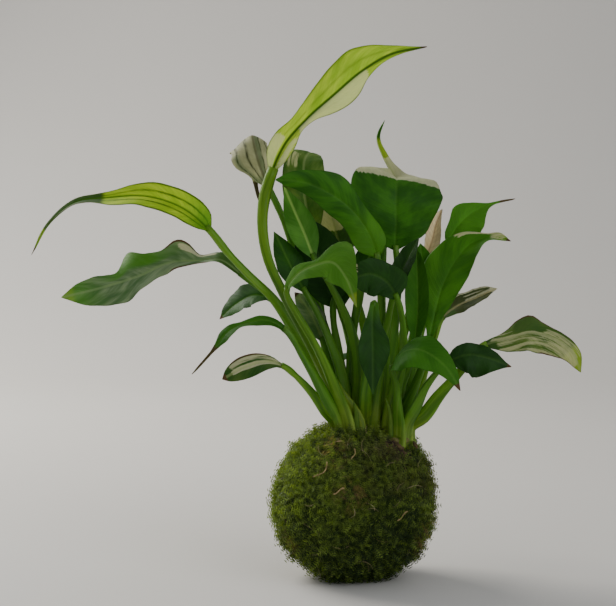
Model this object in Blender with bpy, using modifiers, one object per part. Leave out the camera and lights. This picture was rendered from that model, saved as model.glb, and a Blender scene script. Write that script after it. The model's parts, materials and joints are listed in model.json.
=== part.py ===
"""Kokedama: a peace lily clump growing from a moss-covered ball of soil.

Run with: blender --background --python part.py
The model is in metres with +Z up. The origin is the centre of the small flat
spot that the ball rests on, and +X runs to the side of the longest right-hand
leaf. Lengths in the tables below are millimetres, scaled once by MM.
"""

import math
from collections import namedtuple

import bmesh
import bpy
import numpy
from mathutils import Matrix, Vector

MM = 0.001

# Driving dimensions, in millimetres.
GAP = 0.3                        # clearance between pieces that touch
BALL_RADII = (55.0, 54.0, 54.0)  # moss ball, outer half-sizes
BALL_CENTRE = (0.0, 0.0, 51.5)   # a little lower than its half-height: the flat spot
MOSS_INSET = 7.5                 # moss thickness at the sides
SOIL_LIFT = -1.5                 # the soil sits low in the moss, which is thicker on top
BALL_SEGMENTS = 28
BALL_RINGS = 18
SHOULDER_AIM = (0.66, -0.08, 0.75)  # where the soil is heaped beside the right crown
SHOULDER_HEIGHT = 4.0
SHOULDER_SPREAD = 0.32
# Gentle lumps: share of the radius, wave numbers along X, Y, Z, and phase.
LUMPS = (
    (0.011, (5.0, 2.0, 3.0), 0.5),
    (0.009, (-3.0, 6.0, 4.0), 1.7),
    (0.006, (2.0, -5.0, 9.0), 2.9),
)

ROOT_CENTRE = (12.0, 4.0)
ROOT_BOTTOM_Z = 26.0
ROOT_TOP_Z = 68.0
ROOT_BOTTOM_RADIUS = 20.0
ROOT_TOP_RADIUS = 28.0
ROOT_ROUNDING = 2.0
ROOT_GAP = 0.4                   # sideways room round the tapered root ball

CROWN_TOP_Z = 97.0
CROWN_BOTTOM_RADIUS = 4.5
CROWN_TOP_RADIUS = 9.3
CROWN_ROUNDING = 0.8
CROWN_SEGMENTS = 20
CROWNS = {
    "front_left": (-4.0, -5.0),
    "front_right": (29.5, -5.0),
    "middle": (12.5, 9.0),
    "back_left": (-5.8, 14.0),
    "back_right": (30.8, 14.0),
}
SLOT_RING = 6.9                  # leaf bases stand on this ring round a crown's middle
SLOT_COUNT = 8

OPENING_MARGIN = 3.4             # the moss stops this far from the crowns
OPENING_TOP_Z = 115.0

LEAF_SIDES = 8
PETIOLE_RINGS = 6
BLADE_RINGS = 11
PETIOLE_SHARES = (0.0, 0.3, 1.0)
PETIOLE_RADII = (2.3, 2.6, 1.6)  # at those shares of the stalk's length
BLADE_HALF_THICKNESS = 0.55
TIP_HALF_SIZE = 0.35
NECK_BLEND = 0.18                # share of the blade over which the stalk flattens
ROUTE_STEPS = 16                 # points per span when a route is smoothed
STALK_RISE = 6.0                 # every stalk leaves its crown straight up for this far

NEEDLE_RADIUS = 0.55
NEEDLE_POINTS = 5
CHIP_SIZE = (7.0, 4.0, 1.8)
CHIP_CLEARANCE = 0.7             # a flat flake on a round ball rests on its middle
CHIP_BEVEL = 0.5

LEAF_GREEN = (0.035, 0.115, 0.010)
LEAF_DARK = (0.018, 0.065, 0.008)
LEAF_LIME = (0.26, 0.40, 0.030)
LEAF_CREAM = (0.45, 0.42, 0.20)
LEAF_DRY = (0.42, 0.33, 0.20)
SHEATH_GREEN = (0.030, 0.070, 0.012)
MOSS_GREEN = (0.055, 0.100, 0.010)
SOIL_BROWN = (0.045, 0.028, 0.016)
ROOT_BROWN = (0.140, 0.095, 0.055)
CROWN_TAN = (0.200, 0.170, 0.070)
STRAW = (0.300, 0.180, 0.070)
BARK = (0.080, 0.045, 0.025)

# A leaf: the crown and slot that it grows from, the points that its stalk and
# then its blade pass through, the half-widths of the blade left and right of
# the midrib, where along the blade it is widest, how slender its ends are, and
# two angles listed from stalk to tip: how far each half is folded up, and where
# the upper side would look if the leaf stood upright, 0 for -Y and 90 for +X.
Leaf = namedtuple(
    "Leaf",
    "name crown slot petiole blade half_widths widest slender fold facing colour",
)

LEAVES = (
    Leaf("leaf_top_new", "front_left", 1,
         ((-14, -10, 130), (-31, -13, 163), (-47, -13, 192), (-57, -10, 217), (-60, -7, 246)),
         ((-55, -3, 272), (-46, -2, 291), (-32, -1, 307), (-14, 0, 323), (5, 2, 339), (24, 4, 350),
          (48, 6, 355)),
         (15, 13), 0.50, 1.9, (15, 18, 20), (5, 0, -10), LEAF_LIME),
    Leaf("leaf_left_arching", "front_left", 0,
         ((-16, -1, 128), (-37, -1, 164), (-54, -3, 188), (-70, -6, 204), (-84, -8, 219)),
         ((-96, -9, 234), (-113, -9, 248), (-137, -7, 256), (-164, -5, 255), (-185, -4, 252),
          (-202, -2, 239), (-215, 0, 217)),
         (10, 10), 0.30, 2.6, (15, 20, 20), (45, 45, 60, 60), LEAF_LIME),
    Leaf("leaf_left_long", "back_left", 6,
         ((-22, 12, 128), (-41, 16, 165), (-59, 18, 190)),
         ((-75, 20, 202), (-91, 22, 213), (-108, 24, 212), (-124, 25, 211), (-145, 26, 202),
          (-170, 26, 194), (-199, 26, 187)),
         (13, 13), 0.58, 1.7, (15, 12, 12), (80, 60, 20, 10), LEAF_GREEN),
    Leaf("leaf_left_small", "back_left", 5,
         ((-20, 19, 123), (-33, 26, 152), (-46, 31, 174)),
         ((-56, 34, 185), (-68, 37, 188), (-80, 39, 182), (-92, 40, 171)),
         (10, 10), 0.40, 1.9, (15, 15), (40, 30, 20), LEAF_GREEN),
    Leaf("leaf_left_curled", "front_left", 6,
         ((-20, -16, 126), (-35, -20, 152)),
         ((-45, -22, 168), (-57, -23, 175), (-70, -24, 174), (-82, -24, 169), (-92, -25, 157),
          (-107, -25, 140)),
         (5.5, 5), 0.40, 2.0, (15, 15), (60, 50, 40), LEAF_GREEN),
    Leaf("leaf_left_low", "front_left", 5,
         ((-19, -9, 113), (-29, -12, 127), (-39, -16, 138)),
         ((-46, -19, 144), (-58, -23, 148), (-72, -26, 145), (-87, -28, 137)),
         (8, 8), 0.45, 1.8, (15, 15), (60, 50, 45), LEAF_CREAM),
    Leaf("leaf_crumpled", "back_left", 0,
         ((-11, 18, 130), (-24, 25, 175), (-39, 32, 215), (-50, 37, 245)),
         ((-58, 38, 262), (-64, 42, 276), (-68, 48, 290), (-70, 57, 298), (-71, 66, 295),
          (-71, 71, 283), (-69, 73, 268), (-65, 73, 250)),
         (14, 13), 0.42, 2.0, (15, 15), (15, 10, 0), LEAF_CREAM),
    Leaf("leaf_centre_broad", "middle", 8,
         ((20, 2, 135), (19, 0, 165), (17, -3, 195)),
         ((15, -6, 216), (8, -10, 234), (-5, -14, 250), (-20, -18, 260), (-36, -22, 266),
          (-52, -25, 267)),
         (14, 14), 0.50, 1.8, (12, 12), (20, 10, 0), LEAF_GREEN),
    Leaf("leaf_centre_tall", "middle", 1,
         ((24, 12, 140), (28, 14, 175), (30, 14, 205)),
         ((28, 13, 220), (28, 10, 240), (28, 11, 257), (29, 20, 268), (29, 34, 267), (28, 45, 270),
          (21, 50, 283), (17, 53, 296), (22, 56, 308)),
         (29, 28), 0.36, 2.2, (6, 6, 10, 70, 85), (0, 0, 0), LEAF_DARK),
    Leaf("leaf_right_broad", "front_right", 0,
         ((37, -4, 122), (44, -2, 140)),
         ((50, 0, 160), (54, 3, 178), (60, 6, 198), (68, 7, 213), (79, 6, 225), (92, 4, 229),
          (104, 2, 226)),
         (17, 13), 0.50, 1.9, (8, 8), (-10, -20, -50), LEAF_GREEN),
    Leaf("leaf_right_top", "back_right", 0,
         ((36, 18, 130), (44, 22, 160), (54, 26, 195)),
         ((64, 28, 224), (74, 29, 239), (87, 30, 248), (99, 30, 252), (110, 30, 254)),
         (11, 11), 0.36, 2.0, (15, 15), (-10, -20, -40), LEAF_GREEN),
    Leaf("leaf_dry", "back_right", 5,
         ((28, 22, 140), (38, 29, 175), (46, 33, 200)),
         ((50, 35, 214), (54, 36, 226), (57, 37, 238), (61, 38, 247)),
         (7, 7), 0.45, 1.8, (25, 25), (20, 0, -20), LEAF_DRY),
    Leaf("leaf_right_curled", "back_right", 8,
         ((42, 12, 122), (50, 16, 146), (55, 19, 160)),
         ((59, 21, 172), (70, 23, 181), (84, 24, 187), (98, 26, 193)),
         (8, 8), 0.45, 1.9, (25, 25), (-50, -50, -50), LEAF_CREAM),
    Leaf("leaf_right_long", "front_right", 1,
         ((45, -10, 110), (55, -14, 124), (66, -17, 137), (76, -19, 149)),
         ((84, -20, 158), (100, -21, 163), (116, -22, 167), (131, -22, 163), (143, -22, 153),
          (148, -22, 141)),
         (10, 10), 0.45, 1.8, (15, 15), (-60, -50, -40), LEAF_GREEN),
    Leaf("leaf_right_dark", "front_right", 8,
         ((40, -18, 117), (48, -24, 134)),
         ((61, -26, 148), (73, -27, 153), (87, -27, 151), (102, -26, 145)),
         (8, 12), 0.40, 1.9, (12, 8), (-40, -30, -30), LEAF_DARK),
    Leaf("leaf_front_right", "front_right", 7,
         ((28, -16, 119), (27, -20, 132)),
         ((24, -24, 143), (29, -32, 154), (40, -41, 158), (51, -48, 153), (60, -53, 144),
          (66, -57, 133)),
         (14, 14), 0.42, 1.7, (12, 12), (-105, -105, -95), LEAF_GREEN),
    Leaf("leaf_front_centre", "front_left", 7,
         ((-13, -18, 130), (-28, -23, 162), (-40, -26, 182)),
         ((-45, -27, 194), (-38, -31, 206), (-27, -37, 212), (-15, -43, 214), (-7, -48, 205),
          (0, -53, 186)),
         (12, 12), 0.58, 1.9, (20, 20), (-60, -40, -20), LEAF_GREEN),
    Leaf("leaf_centre_short", "front_right", 5,
         ((27, -9, 128), (32, -14, 155), (31, -18, 175)),
         ((27, -21, 190), (20, -26, 201), (10, -30, 206), (-3, -33, 203)),
         (12, 10), 0.50, 1.7, (10, 10), (30, 20, 20), LEAF_DARK),
    Leaf("leaf_centre_hanging", "middle", 6,
         ((7, -6, 120), (10, -12, 150), (12, -18, 174)),
         ((12, -24, 186), (12, -30, 187), (11, -35, 177), (11, -38, 156), (11, -39, 128)),
         (10, 9), 0.40, 1.7, (15, 15), (180, 180), LEAF_DARK),
    Leaf("leaf_centre_narrow", "middle", 7,
         ((16, -3, 140), (21, -6, 168), (24, -8, 184)),
         ((27, -9, 195), (31, -10, 207), (36, -11, 218), (42, -12, 229)),
         (6, 6), 0.45, 1.9, (20, 20), (-60, -60, -50), LEAF_DARK),
    Leaf("leaf_right_upright", "front_right", 4,
         ((30, 1, 125), (37, 0, 145)),
         ((40, -1, 158), (42, -2, 178), (42, -2, 200), (41, -2, 222)),
         (8, 7), 0.50, 1.7, (35, 35), (0, 0, 0), LEAF_GREEN),
    Leaf("leaf_back_tall", "middle", 4,
         ((2, 22, 140), (-8, 32, 180), (-18, 38, 210)),
         ((-26, 41, 228), (-32, 44, 247), (-34, 49, 267), (-33, 57, 282), (-29, 68, 286),
          (-25, 80, 278)),
         (13, 13), 0.45, 1.8, (12, 12), (0, 0, 0), LEAF_GREEN),
    Leaf("leaf_back_cream", "middle", 0,
         ((10, 20, 150), (1, 32, 190)),
         ((-5, 38, 208), (-10, 46, 224), (-14, 54, 239), (-17, 64, 250), (-18, 77, 253)),
         (12, 12), 0.45, 1.8, (15, 15), (10, 10, 10), LEAF_CREAM),
    Leaf("leaf_back_dark", "middle", 5,
         ((3, 13, 140), (-4, 16, 165)),
         ((-9, 17, 180), (-15, 19, 196), (-22, 22, 212), (-28, 25, 227), (-34, 29, 241)),
         (16, 15), 0.45, 1.7, (8, 8), (0, 0, 0), LEAF_DARK),
    Leaf("leaf_back_grey", "front_left", 3,
         ((-7, 3, 132), (-16, 6, 158), (-26, 9, 180)),
         ((-33, 11, 192), (-41, 13, 206), (-48, 16, 220), (-54, 19, 232)),
         (9, 9), 0.45, 1.8, (15, 15), (20, 20, 20), LEAF_GREEN),
    Leaf("leaf_inner_left", "front_left", 2,
         ((3, 0, 140), (-4, 3, 172), (-18, 7, 200)),
         ((-27, 9, 215), (-33, 11, 230), (-40, 13, 246), (-47, 14, 262)),
         (10, 10), 0.45, 1.8, (12, 12), (10, 0, -10), LEAF_GREEN),
    Leaf("leaf_inner_dark", "back_left", 7,
         ((-8, 9, 130), (-11, 11, 155), (-14, 12, 174)),
         ((-14, 12, 185), (-12, 12, 194), (-9, 12, 203), (-5, 12, 210)),
         (8, 8), 0.45, 1.8, (12, 12), (10, 10), LEAF_DARK),
    Leaf("leaf_inner_centre", "back_left", 8,
         ((-1, 7.5, 130), (-1.5, 8, 158), (1.5, 7, 180)),
         ((4, 6, 192), (7, 5, 206), (11, 4, 219), (14, 4, 230)),
         (9, 9), 0.45, 1.8, (12, 12), (-10, -10), LEAF_DARK),
    Leaf("leaf_inner_right", "front_right", 2,
         ((38, 5, 125), (42, 12, 150)),
         ((45, 16, 172), (47, 18, 190), (47, 19, 208), (45, 20, 224)),
         (9, 9), 0.45, 1.8, (12, 12), (-10, -10), LEAF_GREEN),
    Leaf("leaf_inner_low", "front_left", 4,
         ((-11, 5, 118), (-15, 10, 134), (-18, 14, 148)),
         ((-21, 17, 158), (-26, 18, 170), (-32, 18, 181), (-40, 18, 191)),
         (8, 8), 0.45, 1.8, (12, 12), (25, 25), LEAF_GREEN),
    Leaf("leaf_back_low", "middle", 3,
         ((13, 28, 122), (14, 42, 138)),
         ((16, 56, 146), (18, 76, 150), (20, 96, 145), (21, 114, 132)),
         (13, 13), 0.42, 1.9, (12, 12), (0, 0, 0), LEAF_GREEN),
    Leaf("leaf_back_high", "middle", 2,
         ((18, 28, 140), (20, 44, 180), (21, 54, 205)),
         ((22, 60, 219), (23, 74, 234), (24, 92, 240), (26, 112, 236), (27, 128, 223)),
         (14, 14), 0.42, 1.9, (10, 10), (0, 0, 0), LEAF_GREEN),
    Leaf("leaf_back_left", "back_left", 4,
         ((-15, 32, 130), (-20, 46, 162)),
         ((-23, 58, 184), (-29, 75, 199), (-34, 92, 204), (-38, 110, 196)),
         (12, 12), 0.42, 1.9, (12, 12), (20, 20, 20), LEAF_GREEN),
    Leaf("leaf_back_left_low", "back_left", 3,
         ((-9, 38, 120), (-10, 56, 134)),
         ((-11, 66, 139), (-13, 84, 141), (-16, 102, 134), (-18, 118, 119)),
         (12, 12), 0.42, 1.9, (12, 12), (0, 0, 0), LEAF_GREEN),
    Leaf("leaf_back_right", "back_right", 3,
         ((35, 32, 130), (43, 46, 165)),
         ((50, 56, 188), (57, 68, 206), (64, 86, 216), (70, 106, 212)),
         (12, 12), 0.42, 1.9, (12, 12), (-30, -30, -30), LEAF_GREEN),
)

# Pointed scales at the foot of a crown: name, crown, slot and the middle line above the slot.
SHEATHS = (
    ("sheath_left", "front_left", 8, ((1, -11, 112), (-1, -13, 121))),
    ("sheath_right", "front_right", 6, ((24, -11, 111), (21, -13, 119))),
)
SHEATH_HALF_WIDTH = 2.3
SHEATH_TAPER = 0.85              # share of the width lost by the tip
SHEATH_HALF_THICKNESS = 1.3

# Dry needles on the moss: where each lies, as a heading from +X and a height
# angle in degrees, with its direction along the surface and its arc length.
NEEDLES = (
    ("dry_needle_1", 246, 52, 15, 11),
    ("dry_needle_2", 243, 30, 40, 12),
    ("dry_needle_3", 258, 17, 25, 8),
    ("dry_needle_4", 268, 43, 78, 8),
    ("dry_needle_5", 301, -1, 30, 9),
    ("dry_needle_6", 20, 30, 60, 10),
    ("dry_needle_7", 95, 25, 20, 11),
    ("dry_needle_8", 160, 12, 50, 10),
)

# Flakes of bark pressed into the moss: heading, height angle and spin, in degrees.
CHIPS = (
    ("bark_flake_1", 340, 44, 20),
    ("bark_flake_2", 318, 47, 75),
    ("bark_flake_3", 120, 40, 40),
)


def clear_scene():
    for item in list(bpy.data.objects):
        bpy.data.objects.remove(item, do_unlink=True)


def new_collection(name):
    collection = bpy.data.collections.new(name)
    bpy.context.scene.collection.children.link(collection)
    return collection


def new_material(name, colour, roughness):
    material = bpy.data.materials.new(name)
    material.use_nodes = True
    shader = material.node_tree.nodes["Principled BSDF"]
    shader.inputs["Base Color"].default_value = (*colour, 1.0)
    shader.inputs["Roughness"].default_value = roughness
    shader.inputs["Metallic"].default_value = 0.0
    return material


def add_object(name, mesh_data, collection, colour, roughness):
    """Make a bmesh into a named object with its own material."""
    bmesh.ops.recalc_face_normals(mesh_data, faces=mesh_data.faces)
    mesh = bpy.data.meshes.new(name)
    mesh_data.to_mesh(mesh)
    mesh_data.free()
    mesh.shade_smooth()
    mesh.set_sharp_from_angle(angle=math.radians(50))
    part = bpy.data.objects.new(name, mesh)
    part.data.materials.append(new_material(name, colour, roughness))
    collection.objects.link(part)
    return part


def add_cutter(name, mesh_data, collection):
    cutter = add_object(name, mesh_data, collection, BARK, 0.8)
    cutter.hide_render = True
    cutter.display_type = "WIRE"
    return cutter


def cut(part, cutter):
    modifier = part.modifiers.new(cutter.name, "BOOLEAN")
    modifier.operation = "DIFFERENCE"
    modifier.solver = "EXACT"
    modifier.object = cutter


# The ball: moss, soil and the root ball inside it.

def lump_share(direction):
    """Swell of the ball's surface along a direction, as a share of its radius."""
    total = 0.0
    for share, waves, phase in LUMPS:
        total += share * math.sin(Vector(waves).dot(direction) + phase)
    return total


def ball_point(direction, inset, lift=0.0):
    """Point on the ball's surface, moved inwards by inset, in metres."""
    heading = Vector(direction).normalized()
    swell = 1.0 + lump_share(heading)
    away = (heading - Vector(SHOULDER_AIM).normalized()).length
    shoulder = SHOULDER_HEIGHT * math.exp(-((away / SHOULDER_SPREAD) ** 2))
    reach = [radius * swell - inset + shoulder for radius in BALL_RADII]
    point = Vector([axis * size for axis, size in zip(heading, reach)])
    return (point + Vector(BALL_CENTRE) + Vector((0.0, 0.0, lift))) * MM


def ball_mesh(inset, lift=0.0):
    shape = bmesh.new()
    bmesh.ops.create_uvsphere(shape, u_segments=BALL_SEGMENTS, v_segments=BALL_RINGS, radius=1.0)
    for vertex in shape.verts:
        vertex.co = ball_point(vertex.co, inset, lift)
    bmesh.ops.triangulate(shape, faces=shape.faces, quad_method="FIXED")
    return shape


def flatten_base(shape):
    """Cut the ball flat where it rests."""
    geometry = shape.verts[:] + shape.edges[:] + shape.faces[:]
    bmesh.ops.bisect_plane(
        shape, geom=geometry, plane_co=(0.0, 0.0, 0.0), plane_no=(0.0, 0.0, -1.0), clear_outer=True)
    rim = [edge for edge in shape.edges if edge.is_boundary]
    bmesh.ops.holes_fill(shape, edges=rim)


def cone_mesh(centre_xy, low_z, high_z, low_radius, high_radius, segments, grow=0.0):
    """Upright round plug, widened by grow, in metres."""
    shape = bmesh.new()
    middle = Vector((centre_xy[0], centre_xy[1], (low_z + high_z) / 2.0)) * MM
    bmesh.ops.create_cone(
        shape, cap_ends=True, segments=segments, radius1=(low_radius + grow) * MM,
        radius2=(high_radius + grow) * MM, depth=(high_z - low_z) * MM,
        matrix=Matrix.Translation(middle))
    return shape


def moss_layer(parts, cutters):
    shape = ball_mesh(0.0)
    flatten_base(shape)
    moss = add_object("moss_layer", shape, parts, MOSS_GREEN, 0.9)
    cut(moss, add_cutter("soil_room", ball_mesh(MOSS_INSET - GAP, SOIL_LIFT), cutters))
    for side, place in CROWNS.items():
        hole = crown_mesh(place, ROOT_TOP_Z, OPENING_TOP_Z, OPENING_MARGIN)
        cut(moss, add_cutter("opening_" + side, hole, cutters))


def crown_mesh(place, low_z, high_z, grow):
    """A crown's tapered body, or the socket for it, between two heights."""
    slope = (CROWN_TOP_RADIUS - CROWN_BOTTOM_RADIUS) / (CROWN_TOP_Z - ROOT_TOP_Z)
    low_radius = CROWN_BOTTOM_RADIUS + slope * (low_z - ROOT_TOP_Z)
    high_radius = CROWN_BOTTOM_RADIUS + slope * (high_z - ROOT_TOP_Z)
    return cone_mesh(place, low_z, high_z, low_radius, high_radius, CROWN_SEGMENTS, grow)


def soil_ball(parts, cutters):
    soil = add_object("soil_ball", ball_mesh(MOSS_INSET, SOIL_LIFT), parts, SOIL_BROWN, 0.95)
    room = cone_mesh(ROOT_CENTRE, ROOT_BOTTOM_Z - GAP, ROOT_TOP_Z + GAP,
                     ROOT_BOTTOM_RADIUS, ROOT_TOP_RADIUS, BALL_SEGMENTS, ROOT_GAP)
    cut(soil, add_cutter("root_room", room, cutters))
    for side, place in CROWNS.items():
        socket = crown_mesh(place, ROOT_TOP_Z, OPENING_TOP_Z, GAP)
        cut(soil, add_cutter("crown_socket_" + side, socket, cutters))


def root_ball(parts):
    shape = cone_mesh(ROOT_CENTRE, ROOT_BOTTOM_Z, ROOT_TOP_Z,
                      ROOT_BOTTOM_RADIUS, ROOT_TOP_RADIUS, BALL_SEGMENTS)
    roots = add_object("root_ball", shape, parts, ROOT_BROWN, 0.95)
    bevel = roots.modifiers.new("worn_edges", "BEVEL")
    bevel.width = ROOT_ROUNDING * MM
    bevel.segments = 2
    bevel.limit_method = "ANGLE"


def crowns(parts):
    for side, place in CROWNS.items():
        shape = crown_mesh(place, ROOT_TOP_Z + GAP, CROWN_TOP_Z, 0.0)
        crown = add_object("crown_" + side, shape, parts, CROWN_TAN, 0.6)
        bevel = crown.modifiers.new("soft_edges", "BEVEL")
        bevel.width = CROWN_ROUNDING * MM
        bevel.segments = 1
        bevel.limit_method = "ANGLE"


# Leaves: one loft each, from a round stalk to a thin blade.

def stalk_foot(crown, slot):
    """First two points of what grows on a crown: slot 0 is its middle, the others go round."""
    x, y = CROWNS[crown]
    if slot > 0:
        angle = math.tau * (slot - 1) / SLOT_COUNT
        x += SLOT_RING * math.cos(angle)
        y += SLOT_RING * math.sin(angle)
    foot_z = CROWN_TOP_Z + GAP
    return ((x, y, foot_z), (x, y, foot_z + STALK_RISE))


def smooth_route(points):
    """Dense points of a smooth curve through the given ones, and each one's distance along it."""
    knots = numpy.array(points, dtype=float)
    spans = numpy.linalg.norm(numpy.diff(knots, axis=0), axis=1)
    at = numpy.concatenate(([0.0], numpy.cumsum(spans)))
    slopes = numpy.gradient(knots, at, axis=0)
    dense = []
    for index, span in enumerate(spans):
        for t in numpy.arange(ROUTE_STEPS) / ROUTE_STEPS:
            start = (1 + 2 * t) * (1 - t) ** 2 * knots[index]
            start_pull = t * (1 - t) ** 2 * span * slopes[index]
            end = t * t * (3 - 2 * t) * knots[index + 1]
            end_pull = t * t * (t - 1) * span * slopes[index + 1]
            dense.append(start + start_pull + end + end_pull)
    dense.append(knots[-1])
    dense = numpy.array(dense)
    steps = numpy.linalg.norm(numpy.diff(dense, axis=0), axis=1)
    return dense, numpy.concatenate(([0.0], numpy.cumsum(steps)))


def sample_route(dense, along, stations):
    """Points and unit directions at the given distances along a smooth route."""
    places = numpy.stack([numpy.interp(stations, along, dense[:, axis]) for axis in range(3)], axis=1)
    step = along[-1] / (4.0 * len(along))
    ahead = numpy.clip(stations + step, 0.0, along[-1])
    behind = numpy.clip(stations - step, 0.0, along[-1])
    towards = numpy.stack(
        [numpy.interp(ahead, along, dense[:, axis]) - numpy.interp(behind, along, dense[:, axis])
         for axis in range(3)], axis=1)
    return places, towards / numpy.linalg.norm(towards, axis=1, keepdims=True)


def carried_sides(directions):
    """Sideways vectors that start towards -X and turn no more than the route does."""
    side = numpy.cross(directions[0], (0.0, 1.0, 0.0))
    sides = []
    for direction in directions:
        side = side - direction * side.dot(direction)
        side = side / numpy.linalg.norm(side)
        sides.append(side)
    return numpy.array(sides)


def outline(share, widest, slender):
    """Width of a lance-shaped blade, 0 at both ends and 1 where it is widest."""
    if share <= 0.0 or share >= 1.0:
        return 0.0
    rise = (share / widest) ** (slender * widest)
    fall = ((1.0 - share) / (1.0 - widest)) ** (slender * (1.0 - widest))
    return rise * fall


def cross_section(place, side, normal, half_widths, half_height, fold):
    """Ring of points: a circle when width and height agree, a thin folded blade when they don't."""
    left = side * math.cos(math.radians(fold)) + normal * math.sin(math.radians(fold))
    right = -side * math.cos(math.radians(fold)) + normal * math.sin(math.radians(fold))
    ring = []
    for index in range(LEAF_SIDES):
        angle = math.tau * index / LEAF_SIDES
        across = math.cos(angle)
        if across >= 0.0:
            offset = left * across * half_widths[0]
        else:
            offset = -right * across * half_widths[1]
        ring.append(place + offset + normal * half_height * math.sin(angle))
    return ring


def loft(rings):
    """Closed body through rings of points, its upper and lower faces split alike."""
    shape = bmesh.new()
    rows = [[shape.verts.new(Vector(point) * MM) for point in ring] for ring in rings]
    count = len(rings[0])
    for low, high in zip(rows, rows[1:]):
        for index in range(count):
            after = (index + 1) % count
            if index < count // 2:
                shape.faces.new((low[index], low[after], high[after]))
                shape.faces.new((low[index], high[after], high[index]))
            else:
                shape.faces.new((low[index], low[after], high[index]))
                shape.faces.new((low[after], high[after], high[index]))
    shape.faces.new(rows[0])
    shape.faces.new(rows[-1])
    return shape


def leaf(spec, parts):
    stalk_points = (*stalk_foot(spec.crown, spec.slot), *spec.petiole)
    dense, along = smooth_route((*stalk_points, *spec.blade))
    neck = along[len(stalk_points) * ROUTE_STEPS]
    petiole_stations = numpy.linspace(0.0, neck, PETIOLE_RINGS, endpoint=False)
    blade_stations = numpy.linspace(neck, along[-1], BLADE_RINGS)
    stations = numpy.concatenate((petiole_stations, blade_stations))
    places, directions = sample_route(dense, along, stations)
    sides = carried_sides(directions)
    rings = []
    for place, direction, side, station in zip(places, directions, sides, stations):
        share = max(0.0, (station - neck) / (along[-1] - neck))
        stalk = numpy.interp(station / neck, PETIOLE_SHARES, PETIOLE_RADII)
        flat = numpy.interp(share, (0.0, NECK_BLEND, 1.0), (stalk, BLADE_HALF_THICKNESS, TIP_HALF_SIZE))
        spread = outline(share, spec.widest, spec.slender)
        half_widths = [max(flat, math.hypot(flat, width * spread)) for width in spec.half_widths]
        turn = math.radians(numpy.interp(share, numpy.linspace(0.0, 1.0, len(spec.facing)), spec.facing))
        front = numpy.cross(direction, side)
        turned_side = side * math.cos(turn) + front * math.sin(turn)
        normal = front * math.cos(turn) - side * math.sin(turn)
        fold = numpy.interp(share, numpy.linspace(0.0, 1.0, len(spec.fold)), spec.fold)
        rings.append(cross_section(place, turned_side, normal, half_widths, flat, fold))
    add_object(spec.name, loft(rings), parts, spec.colour, 0.4)


def sheath(name, crown, slot, middle_line, parts):
    """A short pointed scale with its foot on the crown."""
    dense, along = smooth_route((*stalk_foot(crown, slot), *middle_line))
    stations = numpy.linspace(0.0, along[-1], PETIOLE_RINGS)
    places, directions = sample_route(dense, along, stations)
    rings = []
    for place, direction, side, station in zip(places, directions, carried_sides(directions), stations):
        taper = 1.0 - SHEATH_TAPER * (station / along[-1]) ** 2
        width = SHEATH_HALF_WIDTH * taper
        rings.append(cross_section(place, side, numpy.cross(direction, side), (width, width),
                                   SHEATH_HALF_THICKNESS * taper, 0.0))
    add_object(name, loft(rings), parts, SHEATH_GREEN, 0.5)


# Dry bits lying on the moss.

def heading_vector(heading, height):
    flat = math.cos(math.radians(height))
    return Vector((flat * math.cos(math.radians(heading)), flat * math.sin(math.radians(heading)),
                   math.sin(math.radians(height))))


def needle(name, heading, height, lean, length, parts):
    """Thin curved needle that follows the ball's surface."""
    middle = heading_vector(heading, height)
    east = Vector((0.0, 0.0, 1.0)).cross(middle).normalized()
    north = middle.cross(east)
    run = east * math.cos(math.radians(lean)) + north * math.sin(math.radians(lean))
    curve = bpy.data.curves.new(name, "CURVE")
    curve.dimensions = "3D"
    curve.bevel_depth = NEEDLE_RADIUS * MM
    curve.bevel_resolution = 1
    curve.use_fill_caps = True
    spline = curve.splines.new("POLY")
    spline.points.add(NEEDLE_POINTS - 1)
    for index, point in enumerate(spline.points):
        swing = (index / (NEEDLE_POINTS - 1) - 0.5) * length / BALL_RADII[0]
        direction = middle * math.cos(swing) + run * math.sin(swing)
        point.co = (*ball_point(direction, -(NEEDLE_RADIUS + GAP)), 1.0)
    needle_object = bpy.data.objects.new(name, curve)
    curve.materials.append(new_material(name, STRAW, 0.7))
    parts.objects.link(needle_object)


def bark_flake(name, heading, height, spin, parts):
    """Small flat flake lying on the ball."""
    outward = heading_vector(heading, height)
    seat = ball_point(outward, -(CHIP_SIZE[2] / 2.0 + CHIP_CLEARANCE))
    shape = bmesh.new()
    bmesh.ops.create_cube(shape, size=1.0)
    turn = outward.to_track_quat("Z", "Y").to_matrix().to_4x4() @ Matrix.Rotation(math.radians(spin), 4, "Z")
    size = Matrix.Diagonal((*[length * MM for length in CHIP_SIZE], 1.0))
    bmesh.ops.transform(shape, matrix=Matrix.Translation(seat) @ turn @ size, verts=shape.verts)
    flake = add_object(name, shape, parts, BARK, 0.85)
    bevel = flake.modifiers.new("broken_edges", "BEVEL")
    bevel.width = CHIP_BEVEL * MM
    bevel.segments = 1


def main():
    clear_scene()
    parts = new_collection("kokedama_moss_ball_plant")
    cutters = new_collection("cutters")
    moss_layer(parts, cutters)
    soil_ball(parts, cutters)
    root_ball(parts)
    crowns(parts)
    for spec in LEAVES:
        leaf(spec, parts)
    for name, crown, slot, middle_line in SHEATHS:
        sheath(name, crown, slot, middle_line, parts)
    for name, heading, height, lean, length in NEEDLES:
        needle(name, heading, height, lean, length, parts)
    for name, heading, height, spin in CHIPS:
        bark_flake(name, heading, height, spin, parts)


main()
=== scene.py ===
"""Kokedama: a variegated peace lily clump growing from a moss-covered ball of soil.

Each operator makes one piece, or one group of like pieces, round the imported
solid model: leaves, sheaths, crowns, moss, soil, and the dry bits on the moss.
Lengths in the tables are millimetres, scaled once by MM. The origin is the
centre of the flat spot that the ball rests on, +Z is up and -Y is the front.
"""

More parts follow.
